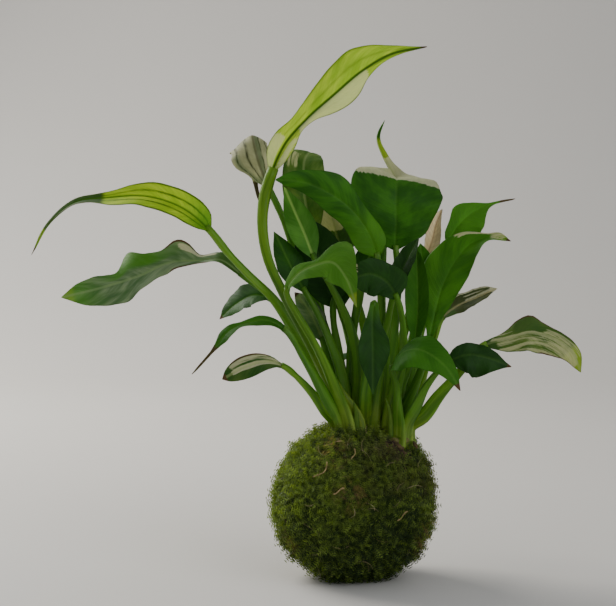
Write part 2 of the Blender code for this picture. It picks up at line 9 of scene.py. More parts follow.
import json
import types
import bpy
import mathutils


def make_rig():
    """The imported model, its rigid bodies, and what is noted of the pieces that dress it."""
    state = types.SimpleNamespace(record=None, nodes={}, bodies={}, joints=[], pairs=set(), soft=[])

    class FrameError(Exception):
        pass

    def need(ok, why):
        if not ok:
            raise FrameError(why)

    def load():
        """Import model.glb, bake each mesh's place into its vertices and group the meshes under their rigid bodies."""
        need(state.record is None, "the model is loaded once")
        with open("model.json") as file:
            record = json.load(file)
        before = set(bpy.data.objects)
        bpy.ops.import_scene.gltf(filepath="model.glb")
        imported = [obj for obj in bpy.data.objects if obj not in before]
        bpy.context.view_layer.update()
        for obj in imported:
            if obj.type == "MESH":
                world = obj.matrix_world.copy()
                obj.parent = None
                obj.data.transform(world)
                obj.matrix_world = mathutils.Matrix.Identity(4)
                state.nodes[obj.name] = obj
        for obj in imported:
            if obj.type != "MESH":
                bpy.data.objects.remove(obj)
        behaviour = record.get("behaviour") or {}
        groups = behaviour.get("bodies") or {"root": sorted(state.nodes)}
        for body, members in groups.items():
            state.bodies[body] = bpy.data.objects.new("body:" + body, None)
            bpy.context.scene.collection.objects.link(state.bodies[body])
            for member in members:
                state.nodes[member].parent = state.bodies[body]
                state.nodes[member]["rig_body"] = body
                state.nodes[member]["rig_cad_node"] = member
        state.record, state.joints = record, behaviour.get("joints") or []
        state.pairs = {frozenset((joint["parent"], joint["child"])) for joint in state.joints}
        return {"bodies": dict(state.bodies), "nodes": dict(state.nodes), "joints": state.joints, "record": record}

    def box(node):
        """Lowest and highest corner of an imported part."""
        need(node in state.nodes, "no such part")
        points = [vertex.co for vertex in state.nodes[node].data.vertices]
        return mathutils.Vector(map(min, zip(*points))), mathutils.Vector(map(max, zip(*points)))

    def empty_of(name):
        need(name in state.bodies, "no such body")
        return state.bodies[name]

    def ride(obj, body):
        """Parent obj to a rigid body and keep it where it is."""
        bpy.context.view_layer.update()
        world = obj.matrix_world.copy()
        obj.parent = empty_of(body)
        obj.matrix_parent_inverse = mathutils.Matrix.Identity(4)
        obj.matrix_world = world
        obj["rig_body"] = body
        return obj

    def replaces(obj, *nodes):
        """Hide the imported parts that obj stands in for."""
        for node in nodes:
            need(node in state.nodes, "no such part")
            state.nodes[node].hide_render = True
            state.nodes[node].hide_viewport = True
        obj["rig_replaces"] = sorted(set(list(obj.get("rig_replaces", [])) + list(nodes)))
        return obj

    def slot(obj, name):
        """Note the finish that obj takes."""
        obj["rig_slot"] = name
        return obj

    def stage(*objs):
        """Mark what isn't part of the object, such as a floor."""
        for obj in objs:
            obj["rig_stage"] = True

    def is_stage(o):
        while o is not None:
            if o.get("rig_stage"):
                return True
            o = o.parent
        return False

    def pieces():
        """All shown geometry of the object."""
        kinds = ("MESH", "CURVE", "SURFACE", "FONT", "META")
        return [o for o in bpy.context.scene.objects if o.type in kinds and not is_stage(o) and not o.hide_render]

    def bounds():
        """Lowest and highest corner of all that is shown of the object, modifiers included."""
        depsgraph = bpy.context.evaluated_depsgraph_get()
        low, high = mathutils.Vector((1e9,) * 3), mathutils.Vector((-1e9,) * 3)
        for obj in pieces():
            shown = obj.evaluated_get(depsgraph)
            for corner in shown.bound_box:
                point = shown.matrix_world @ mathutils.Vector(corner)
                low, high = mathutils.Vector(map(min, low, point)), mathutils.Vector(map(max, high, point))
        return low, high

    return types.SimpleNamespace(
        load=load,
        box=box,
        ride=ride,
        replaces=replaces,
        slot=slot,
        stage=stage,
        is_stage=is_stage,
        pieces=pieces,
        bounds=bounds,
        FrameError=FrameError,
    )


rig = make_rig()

bl_info = {
    "name": "Kokedama Moss Ball Plant",
    "version": (1, 0, 0),
    "blender": (4, 5, 0),
    "location": "3D View > Sidebar > Kokedama",
    "description": "Builds a moss ball with a leafy clump, and a plain stage for it",
    "category": "Add Mesh",
}

import json
import math
from collections import namedtuple

import bmesh
import bpy
import numpy
from bpy.props import FloatProperty, FloatVectorProperty, IntProperty, PointerProperty
from mathutils import Matrix, Vector, noise

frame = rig.load()
CAD_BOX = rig.bounds()

MM = 0.001
BODY = "root"

# Leaves --------------------------------------------------------------------

CROWNS = {
    "front_left": (-4.0, -5.0),
    "front_right": (29.5, -5.0),
    "middle": (12.5, 9.0),
    "back_left": (-5.8, 14.0),
    "back_right": (30.8, 14.0),
}
CROWN_TOP_Z = 97.0
SLOT_RING = 6.9
SLOT_COUNT = 8
STALK_RISE = 6.0
FOOT_DEPTH = 9.5                 # how deep a stalk's foot is tucked into its crown
ROUTE_STEPS = 16

BLADE_COLUMNS = (0.0, 0.035, 0.09, 0.16, 0.24, 0.32, 0.40, 0.48, 0.56, 0.64, 0.72, 0.80, 0.87, 0.93,
                 0.97, 1.0)
SHARP_FOLD = 0.06                # turn, in radians a millimetre, at which the vein relief is gone
STALK_SIDES = 14
STALK_RINGS = 34
STALK_SEED_SHIFT = 500           # keeps a stalk's random turn apart from its blade's waves
PLACE_SHIFT = 31.7               # moves the colour pattern on from one leaf to the next
ZONE_BORDER = 0.05               # width of the soft border of a colour zone
FRESH_BORDER = 0.16
DOUBLES_DISTANCE = 0.00002       # metres within which points become one
STALK_SLOT, BLADE_SLOT = 0, 1    # material slots of a leaf
# Waves along each margin: how many on the whole length, and their share of the height.
MARGIN_WAVES = ((2.3, 0.55), (4.7, 0.30), (9.1, 0.15))
WAVE_HEIGHT = 0.16               # height of the waves, as a share of the half-width
GROOVE_DEPTH, GROOVE_WIDTH = 0.45, 0.8
RIB_THICKNESS, RIB_WIDTH = 1.1, 1.0


def lance(half_width, widest=0.42, slender=1.9, count=13):
    """Half-widths along a lance-shaped blade, from its stalk to its tip."""
    widths = [1.6]
    for index in range(1, count - 1):
        share = index / (count - 1)
        rise = (share / widest) ** (slender * widest)
        fall = ((1.0 - share) / (1.0 - widest)) ** (slender * (1.0 - widest))
        widths.append(half_width * rise * fall)
    return (*widths, 0.2)


# A leaf: the crown and slot it grows from; the points its stalk and then its
# blade pass through; half-widths left and right of the midrib, from stalk to
# tip; angles from stalk to tip, in degrees: how far the left and the right half
# are folded up, and where the upper side would look if the leaf stood upright
# (0 for -Y, 90 for +X); how far each half curls down towards its margin; its
# finish; how wavy its margins are; and its zones of other colour.
Leaf = namedtuple(
    "Leaf",
    "name crown slot stalk blade left right fold_left fold_right facing curl finish waves zones",
)


def even_leaf(name, crown, slot, stalk, blade, half, fold, *rest):
    """A leaf whose left and right halves are alike."""
    return Leaf(name, crown, slot, stalk, blade, half, half, fold, fold, *rest)


# A zone: what it is (cream, brown, lime, green or fresh), the shares of the
# length it runs between, the sideways places it runs between (-1 is the right
# margin, 0 the midrib, 1 the left margin), and how strong it is.
Zone = namedtuple("Zone", "kind start end low high strength")

BROWN_TIP = Zone("brown", 0.93, 1.2, -2, 2, 1.0)

LEAVES = (
    Leaf(
        "leaf_top_new", "front_left", 1,
        ((-14, -10, 130), (-31, -13, 163), (-47, -13, 192), (-58, -10, 217), (-61, -7, 246)),
        ((-55, -3, 272), (-46, -2, 291), (-32, -1, 307), (-14, 0, 323), (5, 2, 339), (24, 4, 350),
         (48, 6, 355)),
        (2, 8.5, 9.5, 7.5, 9, 12, 14.5, 16, 16.5, 12, 6, 2.4, 0.3),
        (2, 6.5, 7, 3.6, 4.5, 9, 12, 11.5, 6.5, 3.4, 2.4, 1.2, 0.3), (15, 18, 20, 20), (15, 0, -15, 10),
        (5, 0, -10), 25, "new_lime", 0.5,
        (Zone("cream", 0.24, 0.68, -2, -0.05, 1.0), Zone("cream", -0.1, 0.17, 0.22, 2, 1.0),
         Zone("cream", -0.1, 0.22, -2, -0.3, 0.52), Zone("brown", 0.97, 1.2, -2, 2, 1.0))),
    Leaf(
        "leaf_left_arching", "front_left", 0,
        ((-16, -1, 128), (-37, -1, 164), (-54, -3, 188), (-70, -6, 204), (-84, -8, 219)),
        ((-96, -9, 234), (-113, -9, 248), (-137, -7, 256), (-164, -5, 255), (-185, -4, 252),
         (-202, -2, 239), (-215, 0, 217)),
        (2.6, 9.5, 11.8, 12.8, 13, 13.3, 13.5, 13.5, 13.5, 13.6, 14, 14.3, 12.5, 9, 7, 6, 5, 4.2, 3.3,
         2.6, 2.3, 2, 1.6, 1, 0.3),
        (2.2, 9.2, 11, 12, 12.5, 12.6, 12.5, 12.2, 11.5, 10.2, 8.5, 6.5, 5, 4.2, 3.6, 3.4, 3.2, 2.9, 2.6,
         2.4, 2.2, 2, 1.8, 1, 0.3),
        (15, 20, 25, 30), (15, 20, 25, 30), (45, 42, 50, 60), 10, "striped_lime", 0.5,
        (Zone("fresh", -0.1, 0.10, -2, 2, 0.9), Zone("green", 0.54, 0.87, -2, 2, 1.0),
         # The green zone along the left margin, the lower edge, is painted shade; the one along the right margin
         # darkens that edge.
         Zone("green", 0.02, 0.50, 0.90, 2, 0.75), Zone("green", 0.02, 0.40, -2, -0.90, 0.6),
         Zone("lime", 0.88, 0.96, -2, 2, 0.35), Zone("brown", 0.58, 0.85, 0.86, 2, 0.55),
         Zone("brown", 0.96, 1.2, -2, 2, 1.0))),
    Leaf(
        "leaf_left_long", "back_left", 6,
        ((-22, 12, 128), (-41, 16, 165), (-59, 18, 190)),
        ((-75, 20, 202), (-91, 22, 213), (-108, 24, 212), (-124, 25, 211), (-145, 26, 202),
         (-170, 26, 194), (-199, 26, 187)),
        (1.7, 5, 6, 4, 5.5, 7.5, 8, 11, 15, 14, 11, 7, 0.3),
        (1.7, 5, 6.5, 6.5, 5, 13, 15, 10.5, 12.5, 18, 21, 8.5, 8, 9, 8, 5, 0.3), (20, 20, 10, 5, 5),
        (20, 25, 10, 5, 5), (45, 42, 20, 12, 10), 15, "mottled", 1.9,
        (Zone("cream", 0.17, 0.36, -0.86, -0.55, 1.2), Zone("brown", 0.20, 0.42, -2.0, -0.90, 1.0),
         Zone("green", -0.1, 0.17, -2, 2, 0.7), Zone("fresh", 0.42, 0.74, -2.0, -0.34, 1.0),
         Zone("brown", 0.20, 0.42, 0.80, 2, 0.9), Zone("lime", 0.92, 1.2, -2, 2, 0.4),
         Zone("fresh", 0.84, 1.2, -2, 2, 0.8))),
    even_leaf(
        "leaf_left_small", "back_left", 5,
        ((-20, 19, 123), (-33, 26, 152), (-46, 31, 174)),
        ((-56, 34, 185), (-68, 37, 188), (-80, 39, 182), (-92, 40, 171)),
        lance(12), (15, 15), (40, 30, 20), 20, "deep", 0.8,
        (BROWN_TIP,)),
    Leaf(
        "leaf_left_curled", "front_left", 6,
        ((-20, -16, 126), (-35, -20, 152)),
        ((-45, -22, 168), (-57, -23, 175), (-70, -24, 174), (-82, -24, 169), (-92, -25, 157),
         (-107, -25, 140)),
        (1.5, 4, 4.8, 4.6, 3.6, 2.4, 4.8, 5.4, 2.6, 1.2, 0.9, 0.8, 0.3),
        (1.5, 3.5, 4, 3.5, 2.6, 2, 3.8, 4.4, 2.2, 1.0, 0.8, 0.7, 0.3), (15, 15), (15, 15), (60, 50, 40),
        15, "mid", 1.3,
        (Zone("brown", 0.68, 1.2, -2, 2, 0.66),)),
    Leaf(
        "leaf_left_low", "front_left", 5,
        ((-19, -9, 113), (-29, -12, 127), (-39, -16, 138)),
        ((-46, -19, 144), (-58, -23, 148), (-72, -26, 145), (-87, -28, 137)),
        lance(8, 0.6, 1.9), lance(7.5, 0.6, 1.9), (10, 10), (10, 10), (45, 35, 35), 30, "cream_centre",
        0.9,
        (Zone("cream", -0.1, 0.84, -0.85, 0.30, 0.54), Zone("brown", 0.25, 0.8, -2, -0.86, 0.9),
         BROWN_TIP)),
    Leaf(
        "leaf_crumpled", "back_left", 0,
        ((-11, 18, 130), (-24, 25, 175), (-39, 32, 215), (-50, 37, 245)),
        ((-58, 38, 262), (-64, 42, 276), (-68, 48, 290), (-70, 57, 298), (-71, 66, 295), (-71, 71, 283),
         (-69, 73, 268), (-65, 73, 250)),
        (1.5, 7, 11, 16, 18.5, 17, 18.5, 16, 14, 11, 7.5, 6, 5, 3, 1.8, 1.4, 0.3),
        (1.5, 6, 7.5, 11.5, 10.5, 13, 11.5, 12, 10.5, 9.5, 7, 6, 5, 3, 1.8, 1.4, 0.3), (10, -10, -30, -10),
        (10, -14, -20, -10), (15, 10, 0), 27, "cream_crumpled", 1.8,
        # The green zone low on the left half, the second here, is painted shade on the underside of the curl.
        (Zone("green", -0.1, 0.58, -0.36, -0.04, 0.47), Zone("green", 0.0, 0.30, 0.62, 0.95, 0.38),
         Zone("green", -0.1, 0.10, -2, 2, 0.45), Zone("brown", 0.84, 1.2, -2, 2, 1.0))),
    Leaf(
        "leaf_centre_broad", "middle", 8,
        ((20, 2, 135), (19, 0, 165), (17, -3, 195)),
        ((15, -6, 216), (8, -10, 234), (-5, -14, 250), (-20, -18, 260), (-36, -22, 266), (-52, -25, 267)),
        (2, 11, 13, 12.5, 12, 12, 12.5, 11.5, 9.5, 8, 6.5, 4.5, 0.5),
        (2, 9, 10, 8.5, 8, 9.5, 12.5, 14, 12.5, 10, 7.5, 5, 0.5), (8, 8), (8, 8), (20, 10, 0), 30,
        "deep_smooth", 0.6,
        (Zone("fresh", -0.1, 0.30, -2, 2, 0.8),)),
    Leaf(
        "leaf_centre_tall", "middle", 1,
        ((24, 12, 140), (28, 14, 175), (30, 14, 205)),
        ((28, 13, 220), (28, 10, 240), (28, 11, 257), (29, 20, 268), (29, 34, 267), (28, 45, 270),
         (21, 50, 283), (17, 53, 296), (22, 56, 308)),
        (2, 19, 25, 28, 30, 30.5, 25, 15, 8, 4.6, 3.6, 2.6, 1.6, 0.3),
        (2, 18, 24, 29, 32, 31.5, 26, 15, 8, 4.6, 3.6, 2.6, 1.6, 0.3), (6, 6, 10, 40, 60, 60),
        (6, 6, 10, 40, 60, 60), (0, 2, 10, 10, 10), 18, "deep_smooth", 0.7,
        (Zone("cream", 0.43, 0.74, -2, 2, 4.0), Zone("lime", 0.74, 0.88, -2, 2, 0.9))),
    Leaf(
        "leaf_right_broad", "front_right", 0,
        ((37, -4, 122), (44, -2, 140)),
        ((50, 0, 160), (54, 3, 178), (60, 6, 198), (68, 7, 213), (79, 6, 225), (92, 4, 229),
         (104, 2, 226)),
        (1.7, 4, 8, 12, 15, 17, 18, 17.5, 15, 11, 6.3, 2.6, 3.6, 0.5),
        (1.7, 3, 5, 8, 10.5, 12.5, 13.5, 13.5, 13, 12, 10.5, 5.5, 5, 0.5), (8, 8, 20, 50), (8, 8, 20, 50),
        (-10, -20, -50), 12, "mid_smooth", 0.9,
        (Zone("cream", 0.85, 0.97, -0.6, 2, 0.62), Zone("cream", 0.68, 0.90, 0.78, 2, 0.9),
         Zone("lime", 0.88, 1.2, -2, 2, 0.35), Zone("brown", 0.965, 1.2, -2, 2, 0.9))),
    Leaf(
        "leaf_right_top", "back_right", 0,
        ((36, 18, 130), (44, 22, 160), (54, 26, 195)),
        ((64, 28, 224), (74, 29, 239), (87, 30, 248), (99, 30, 252), (110, 30, 254)),
        (1.7, 5, 6, 7.5, 10.8, 10.4, 7.2, 4, 1.6, 0.9, 0.8, 0.7, 0.3),
        (1.7, 6, 11, 14, 15.5, 15, 13, 8, 3.2, 1.1, 0.8, 0.7, 0.3), (15, 15), (12, 12), (-10, -20, -40),
        12, "bright_smooth", 0.6,
        (Zone("brown", 0.80, 1.2, -2, 2, 0.7),)),
    Leaf(
        "leaf_dry", "back_right", 5,
        ((28, 22, 140), (38, 29, 175), (46, 33, 200)),
        ((50, 35, 214), (54, 36, 226), (57, 37, 238), (61, 38, 247)),
        lance(9), lance(8), (30, 40, 30), (30, 40, 30), (20, 0, -20), -20, "dry", 1.6,
        ()),
    Leaf(
        "leaf_right_curled", "back_right", 8,
        ((42, 12, 122), (50, 16, 146), (55, 19, 160)),
        ((59, 21, 172), (70, 23, 181), (84, 24, 187), (98, 26, 193)),
        lance(7.5, 0.5, 1.5), lance(8, 0.5, 1.5), (20, 30, 50), (10, 20, 50), (-40, -40, -40), 20, "olive",
        1.0,
        (Zone("cream", 0.45, 1.2, 0.05, 0.6, 0.52), Zone("cream", 0.08, 0.96, 0.84, 2, 1.0),
         Zone("cream", 0.88, 1.2, -2, 2, 0.8), Zone("green", -0.1, 0.26, -2, 2, 0.8))),
    Leaf(
        "leaf_right_long", "front_right", 1,
        ((45, -10, 110), (55, -14, 124), (66, -17, 137), (76, -19, 149)),
        ((84, -20, 158), (100, -21, 163), (116, -22, 167), (131, -22, 163), (143, -22, 153),
         (148, -22, 141)),
        (1.7, 3, 5, 7.5, 11, 12.5, 8.5, 7, 6.5, 6.5, 5.5, 3.5, 0.4),
        (1.7, 5, 8, 10, 12, 13, 13, 12.5, 11.5, 10, 7.5, 4.5, 0.4), (5, 5, 5), (5, 5, 5), (-45, -35, -30),
        25, "cream_striped", 1.1,
        (Zone("cream", 0.10, 0.95, -0.97, 0.12, 0.56), Zone("cream", 0.06, 0.30, 0.1, 2, 0.5),
         Zone("cream", 0.52, 0.90, 0.0, 0.9, 0.5), Zone("green", 0.28, 0.50, 0.12, 2, 0.55),
         Zone("green", -0.1, 0.10, -2, 2, 1.0), Zone("brown", 0.15, 0.8, 0.92, 2, 0.9),
         Zone("brown", 0.5, 1.0, -2, -0.93, 0.9), Zone("lime", 0.78, 1.2, -2, 2, 0.62))),
    Leaf(
        "leaf_right_dark", "front_right", 8,
        ((40, -18, 117), (48, -24, 134)),
        ((61, -26, 148), (73, -27, 153), (87, -27, 151), (102, -26, 145)),
        lance(8, 0.35, 1.8), lance(15, 0.4, 2.2), (12, 12), (5, 0), (-40, -30, -30), 15, "deep_shade", 2.2,
        (BROWN_TIP,)),
    even_leaf(
        "leaf_front_right", "front_right", 7,
        ((28, -16, 119), (27, -20, 132)),
        ((24, -24, 143), (29, -32, 154), (40, -41, 158), (51, -48, 153), (60, -53, 144), (66, -57, 133)),
        (1.7, 9, 13.5, 15.5, 16, 15.5, 14, 12, 9.5, 7, 5, 2.5, 0.3), (5, 5), (-105, -105, -95), 30, "mid",
        0.5,
        (BROWN_TIP,)),
    Leaf(
        "leaf_front_centre", "front_left", 7,
        ((-13, -18, 130), (-28, -23, 162), (-40, -26, 182)),
        ((-45, -27, 194), (-38, -31, 206), (-27, -37, 212), (-15, -43, 214), (-7, -48, 205),
         (0, -53, 186)),
        (2, 4.5, 6, 5, 3.6, 3.6, 8.5, 17, 14, 9, 5.5, 2.5, 0.3),
        (2, 4, 6, 7, 8, 9, 11, 13, 11.5, 8, 5, 2.5, 0.3), (12, 12), (12, 12), (-60, -40, -20), 22,
        "bright", 0.8,
        (Zone("lime", 0.88, 1.2, -2, 2, 0.7),)),
    Leaf(
        "leaf_centre_short", "front_right", 5,
        ((27, -9, 128), (32, -14, 155), (31, -18, 175)),
        ((27, -21, 190), (20, -26, 201), (10, -30, 206), (-3, -33, 203)),
        (3, 6, 8, 10, 12, 13.5, 14, 14, 13.5, 13, 12, 9, 1.5),
        (3, 11, 14, 13.5, 12, 11, 10.5, 10.5, 10.5, 10, 9, 7, 1.5), (8, 8), (8, 8), (30, 20, 20), 18,
        "deep_shade", 1.2,
        # The cream zone at the tip's right margin is a painted highlight on the curled tip.
        (Zone("cream", 0.84, 1.2, -2.0, -0.35, 0.62),)),
    Leaf(
        "leaf_centre_hanging", "middle", 6,
        ((7, -6, 120), (10, -12, 150), (12, -18, 174)),
        ((12, -24, 186), (12, -30, 187), (11, -35, 177), (11, -38, 156), (11, -39, 128)),
        (1.8, 2.6, 3.4, 4.5, 6.5, 9, 10.8, 11, 9.5, 7, 4.5, 2.2, 0.3),
        (1.8, 2.6, 3.2, 4.2, 6, 8, 9.5, 9.8, 9, 7, 4.5, 2.2, 0.3), (15, 15), (15, 15), (175, 165), 20,
        "deep_shade", 1.4,
        (Zone("fresh", -0.1, 0.22, -2, 2, 0.5),)),
    even_leaf(
        "leaf_centre_narrow", "middle", 7,
        ((16, -3, 140), (21, -6, 168), (24, -8, 184)),
        ((27, -9, 195), (31, -10, 207), (36, -11, 218), (42, -12, 229)),
        lance(9), (15, 15), (-50, -50, -40), 10, "deep_shade", 0.7,
        ()),
    Leaf(
        "leaf_right_upright", "front_right", 4,
        ((30, 1, 125), (37, 0, 145)),
        ((40, -1, 158), (42, -2, 178), (42, -2, 200), (41, -2, 222)),
        lance(10, 0.5, 1.5), lance(8.5, 0.5, 1.5), (30, 30), (35, 35), (0, 0, 0), 5, "mid", 0.5,
        ()),
    even_leaf(
        "leaf_back_tall", "middle", 4,
        ((2, 22, 140), (-8, 32, 180), (-18, 38, 210)),
        ((-26, 41, 228), (-32, 44, 247), (-34, 49, 267), (-33, 57, 282), (-29, 68, 286), (-25, 80, 278)),
        lance(15, 0.45, 1.6), (12, 12), (0, 0, 0), 20, "cream_striped", 1.2,
        # Its cream zone on the left half is a painted highlight, a soft pale patch.
        (Zone("cream", 0.56, 0.74, 0.25, 0.95, 0.56), BROWN_TIP)),
    even_leaf(
        "leaf_back_cream", "middle", 0,
        ((10, 20, 150), (1, 32, 190)),
        ((-5, 38, 208), (-10, 46, 224), (-14, 54, 239), (-17, 64, 250), (-18, 77, 253)),
        lance(13), (15, 25), (10, 10, 10), -15, "cream_striped", 1.9,
        (Zone("cream", 0.42, 1.2, -2, 2, 0.95), Zone("green", -0.1, 0.42, -2, 2, 0.8))),
    even_leaf(
        "leaf_back_dark", "middle", 5,
        ((3, 13, 140), (-4, 16, 165)),
        ((-9, 17, 180), (-15, 19, 196), (-22, 22, 212), (-28, 25, 227), (-34, 29, 241)),
        lance(18, 0.45, 1.4), (8, 8), (0, 0, 0), 15, "deep_shade", 0.7,
        ()),
    even_leaf(
        "leaf_back_grey", "front_left", 3,
        ((-7, 3, 132), (-16, 6, 158), (-26, 9, 180)),
        ((-33, 11, 192), (-41, 13, 206), (-48, 16, 220), (-54, 19, 232)),
        lance(10), (12, 12), (20, 20, 20), 15, "deep", 0.9,
        ()),
    even_leaf(
        "leaf_inner_left", "front_left", 2,
        ((3, 0, 140), (-4, 3, 172), (-18, 7, 200)),
        ((-27, 9, 215), (-33, 11, 230), (-40, 13, 246), (-47, 14, 262)),
        lance(10), (10, 10), (10, 0, -10), 20, "ribbed", 0.7,
        ()),
    even_leaf(
        "leaf_inner_dark", "back_left", 7,
        ((-8, 9, 130), (-11, 11, 155), (-14, 12, 174)),
        ((-14, 12, 185), (-12, 12, 194), (-9, 12, 203), (-5, 12, 210)),
        lance(8, 0.5, 1.6), (12, 12), (10, 10), 20, "deep_shade", 0.8,
        ()),
    even_leaf(
        "leaf_inner_centre", "back_left", 8,
        ((-1, 7.5, 130), (-1.5, 8, 158), (1.5, 7, 180)),
        ((4, 6, 192), (7, 5, 206), (11, 4, 219), (14, 4, 230)),
        lance(9.5, 0.5, 1.6), (12, 12), (-10, -10), 20, "deep", 0.8,
        ()),
    even_leaf(
        "leaf_inner_right", "front_right", 2,
        ((38, 5, 125), (42, 12, 150)),
        ((45, 16, 172), (47, 18, 190), (47, 19, 208), (45, 20, 224)),
        lance(9.5, 0.5, 1.6), (12, 12), (-10, -10), 20, "mid", 0.8,
        ()),
    even_leaf(
        "leaf_inner_low", "front_left", 4,
        ((-11, 5, 118), (-15, 10, 134), (-18, 14, 148)),
        ((-21, 17, 158), (-26, 18, 170), (-32, 18, 181), (-40, 18, 191)),
        lance(9.5, 0.45, 1.5), (12, 12), (25, 25), 20, "mottled", 0.9,
        (BROWN_TIP,)),
    even_leaf(
        "leaf_back_low", "middle", 3,
        ((13, 28, 122), (14, 42, 138)),
        ((16, 56, 146), (18, 76, 150), (20, 96, 145), (21, 114, 132)),
        lance(14), (12, 12), (0, 0, 0), 30, "mid", 0.7,
        (BROWN_TIP,)),
    even_leaf(
        "leaf_back_high", "middle", 2,
        ((18, 28, 140), (20, 44, 180), (21, 54, 205)),
        ((22, 60, 219), (23, 74, 234), (24, 92, 240), (26, 112, 236), (27, 128, 223)),
        lance(15), (10, 10), (0, 0, 0), 30, "deep", 0.6,
        (BROWN_TIP,)),
    even_leaf(
        "leaf_back_left", "back_left", 4,
        ((-15, 32, 130), (-20, 46, 162)),
        ((-23, 58, 184), (-29, 75, 199), (-34, 92, 204), (-38, 110, 196)),
        lance(13), (12, 12), (20, 20, 20), 25, "mottled", 0.8,
        (Zone("cream", 0.3, 0.9, 0.1, 0.9, 0.6), BROWN_TIP)),
    even_leaf(
        "leaf_back_left_low", "back_left", 3,
        ((-9, 38, 120), (-10, 56, 134)),
        ((-11, 66, 139), (-13, 84, 141), (-16, 102, 134), (-18, 118, 119)),
        lance(13), (12, 12), (0, 0, 0), 25, "deep", 0.8,
        ()),
    even_leaf(
        "leaf_back_right", "back_right", 3,
        ((35, 32, 130), (43, 46, 165)),
        ((50, 56, 188), (57, 68, 206), (64, 86, 216), (70, 106, 212)),
        lance(13), (12, 12), (-30, -30, -30), 25, "mid", 0.7,
        (Zone("cream", 0.2, 0.7, -0.9, -0.3, 0.55), BROWN_TIP)),
)

# Colours of each leaf finish: deep tissue, light tissue, veins, cream, and how
# much mottling, cross veins, lengthwise veins and dark rim it has.
Finish = namedtuple("Finish", "deep light vein cream mottle veins long_veins rim glow rib rib_share")
GREEN_CREAM = (0.60, 0.60, 0.32)
PALE_RIB = (0.16, 0.34, 0.05)
FINISHES = {
    "deep": Finish((0.013, 0.080, 0.003), (0.032, 0.140, 0.006), (0.040, 0.160, 0.010), GREEN_CREAM,
                   0.8, 0.22, 0.0, 0.2, 0.32, PALE_RIB, 0.30),
    # deep_shade is the deep finish made darker: painted shade for leaves that lie in the shadow of others.
    "deep_shade": Finish((0.008, 0.046, 0.003), (0.019, 0.084, 0.005), (0.026, 0.100, 0.007),
                         GREEN_CREAM, 0.7, 0.20, 0.0, 0.1, 0.26, PALE_RIB, 0.10),
    "deep_smooth": Finish((0.018, 0.100, 0.003), (0.052, 0.200, 0.008), (0.050, 0.190, 0.010),
                          (0.66, 0.64, 0.42), 0.9, 0.08, 0.0, 0.1, 0.34, PALE_RIB, 0.12),
    "mid": Finish((0.032, 0.150, 0.005), (0.060, 0.220, 0.010), (0.070, 0.250, 0.016), GREEN_CREAM,
                  0.8, 0.20, 0.0, 0.15, 0.40, PALE_RIB, 0.25),
    "mid_smooth": Finish((0.042, 0.165, 0.007), (0.085, 0.262, 0.014), (0.080, 0.260, 0.018),
                         (0.62, 0.58, 0.38), 0.9, 0.10, 0.0, 0.1, 0.42, PALE_RIB, 0.10),
    # ribbed is lighter than mid: painted light on a leaf that lies in the shadow of others; its pale rib is its own
    # colour.
    "ribbed": Finish((0.070, 0.215, 0.024), (0.145, 0.330, 0.060), (0.090, 0.260, 0.035), GREEN_CREAM,
                     0.8, 0.20, 0.0, 0.2, 0.42, (0.34, 0.50, 0.16), 0.8),
    "bright": Finish((0.085, 0.260, 0.018), (0.150, 0.370, 0.040), (0.16, 0.38, 0.05), GREEN_CREAM,
                     0.7, 0.20, 0.0, 0.2, 0.42, (0.28, 0.46, 0.12), 0.6),
    "bright_smooth": Finish((0.075, 0.250, 0.014), (0.120, 0.330, 0.026), (0.13, 0.34, 0.03),
                            GREEN_CREAM, 0.7, 0.14, 0.0, 0.1, 0.40, (0.16, 0.38, 0.05), 0.15),
    "striped_lime": Finish((0.340, 0.500, 0.020), (0.520, 0.640, 0.060), (0.050, 0.150, 0.008),
                           GREEN_CREAM, 0.8, 0.10, 1.0, 1.0, 0.50, (0.070, 0.190, 0.010), 0.8),
    "new_lime": Finish((0.350, 0.520, 0.045), (0.530, 0.660, 0.110), (0.090, 0.210, 0.012),
                       (0.80, 0.82, 0.58), 0.9, 0.10, 0.35, 0.8, 0.55, (0.055, 0.140, 0.010), 0.95),
    "mottled": Finish((0.080, 0.165, 0.060), (0.270, 0.340, 0.215), (0.06, 0.14, 0.040),
                      (0.66, 0.62, 0.46), 1.0, 0.30, 0.0, 0.3, 0.34, (0.26, 0.36, 0.17), 0.5),
    "cream_centre": Finish((0.022, 0.080, 0.008), (0.085, 0.150, 0.025), (0.06, 0.15, 0.02),
                           (0.62, 0.60, 0.40), 0.9, 0.35, 0.0, 0.6, 0.36, (0.34, 0.40, 0.18), 0.5),
    "cream_striped": Finish((0.045, 0.130, 0.012), (0.150, 0.240, 0.045), (0.08, 0.15, 0.02),
                            (0.62, 0.61, 0.34), 0.9, 0.5, 0.0, 0.3, 0.38, (0.34, 0.40, 0.18), 0.4),
    "cream_crumpled": Finish((0.420, 0.430, 0.250), (0.640, 0.640, 0.440), (0.080, 0.090, 0.030),
                             (0.76, 0.74, 0.58), 0.9, 0.05, 1.0, 0.1, 0.45, (0.13, 0.13, 0.05), 0.7),
    "olive": Finish((0.038, 0.060, 0.015), (0.110, 0.130, 0.045), (0.08, 0.10, 0.03),
                    (0.62, 0.60, 0.42), 0.9, 0.25, 0.5, 0.4, 0.32, (0.50, 0.46, 0.28), 0.6),
    "dry": Finish((0.62, 0.55, 0.44), (0.80, 0.74, 0.64), (0.44, 0.36, 0.26), (0.74, 0.68, 0.60),
                  0.8, 0.35, 0.4, 0.4, 0.45, (0.42, 0.32, 0.24), 0.5),
}

# Dark lengthwise lines on each half of a blade, and the finishes that have more.
USUAL_LINE_COUNT = 1.9
LINE_COUNTS = {"cream_crumpled": 2.3, "olive": 2.6}
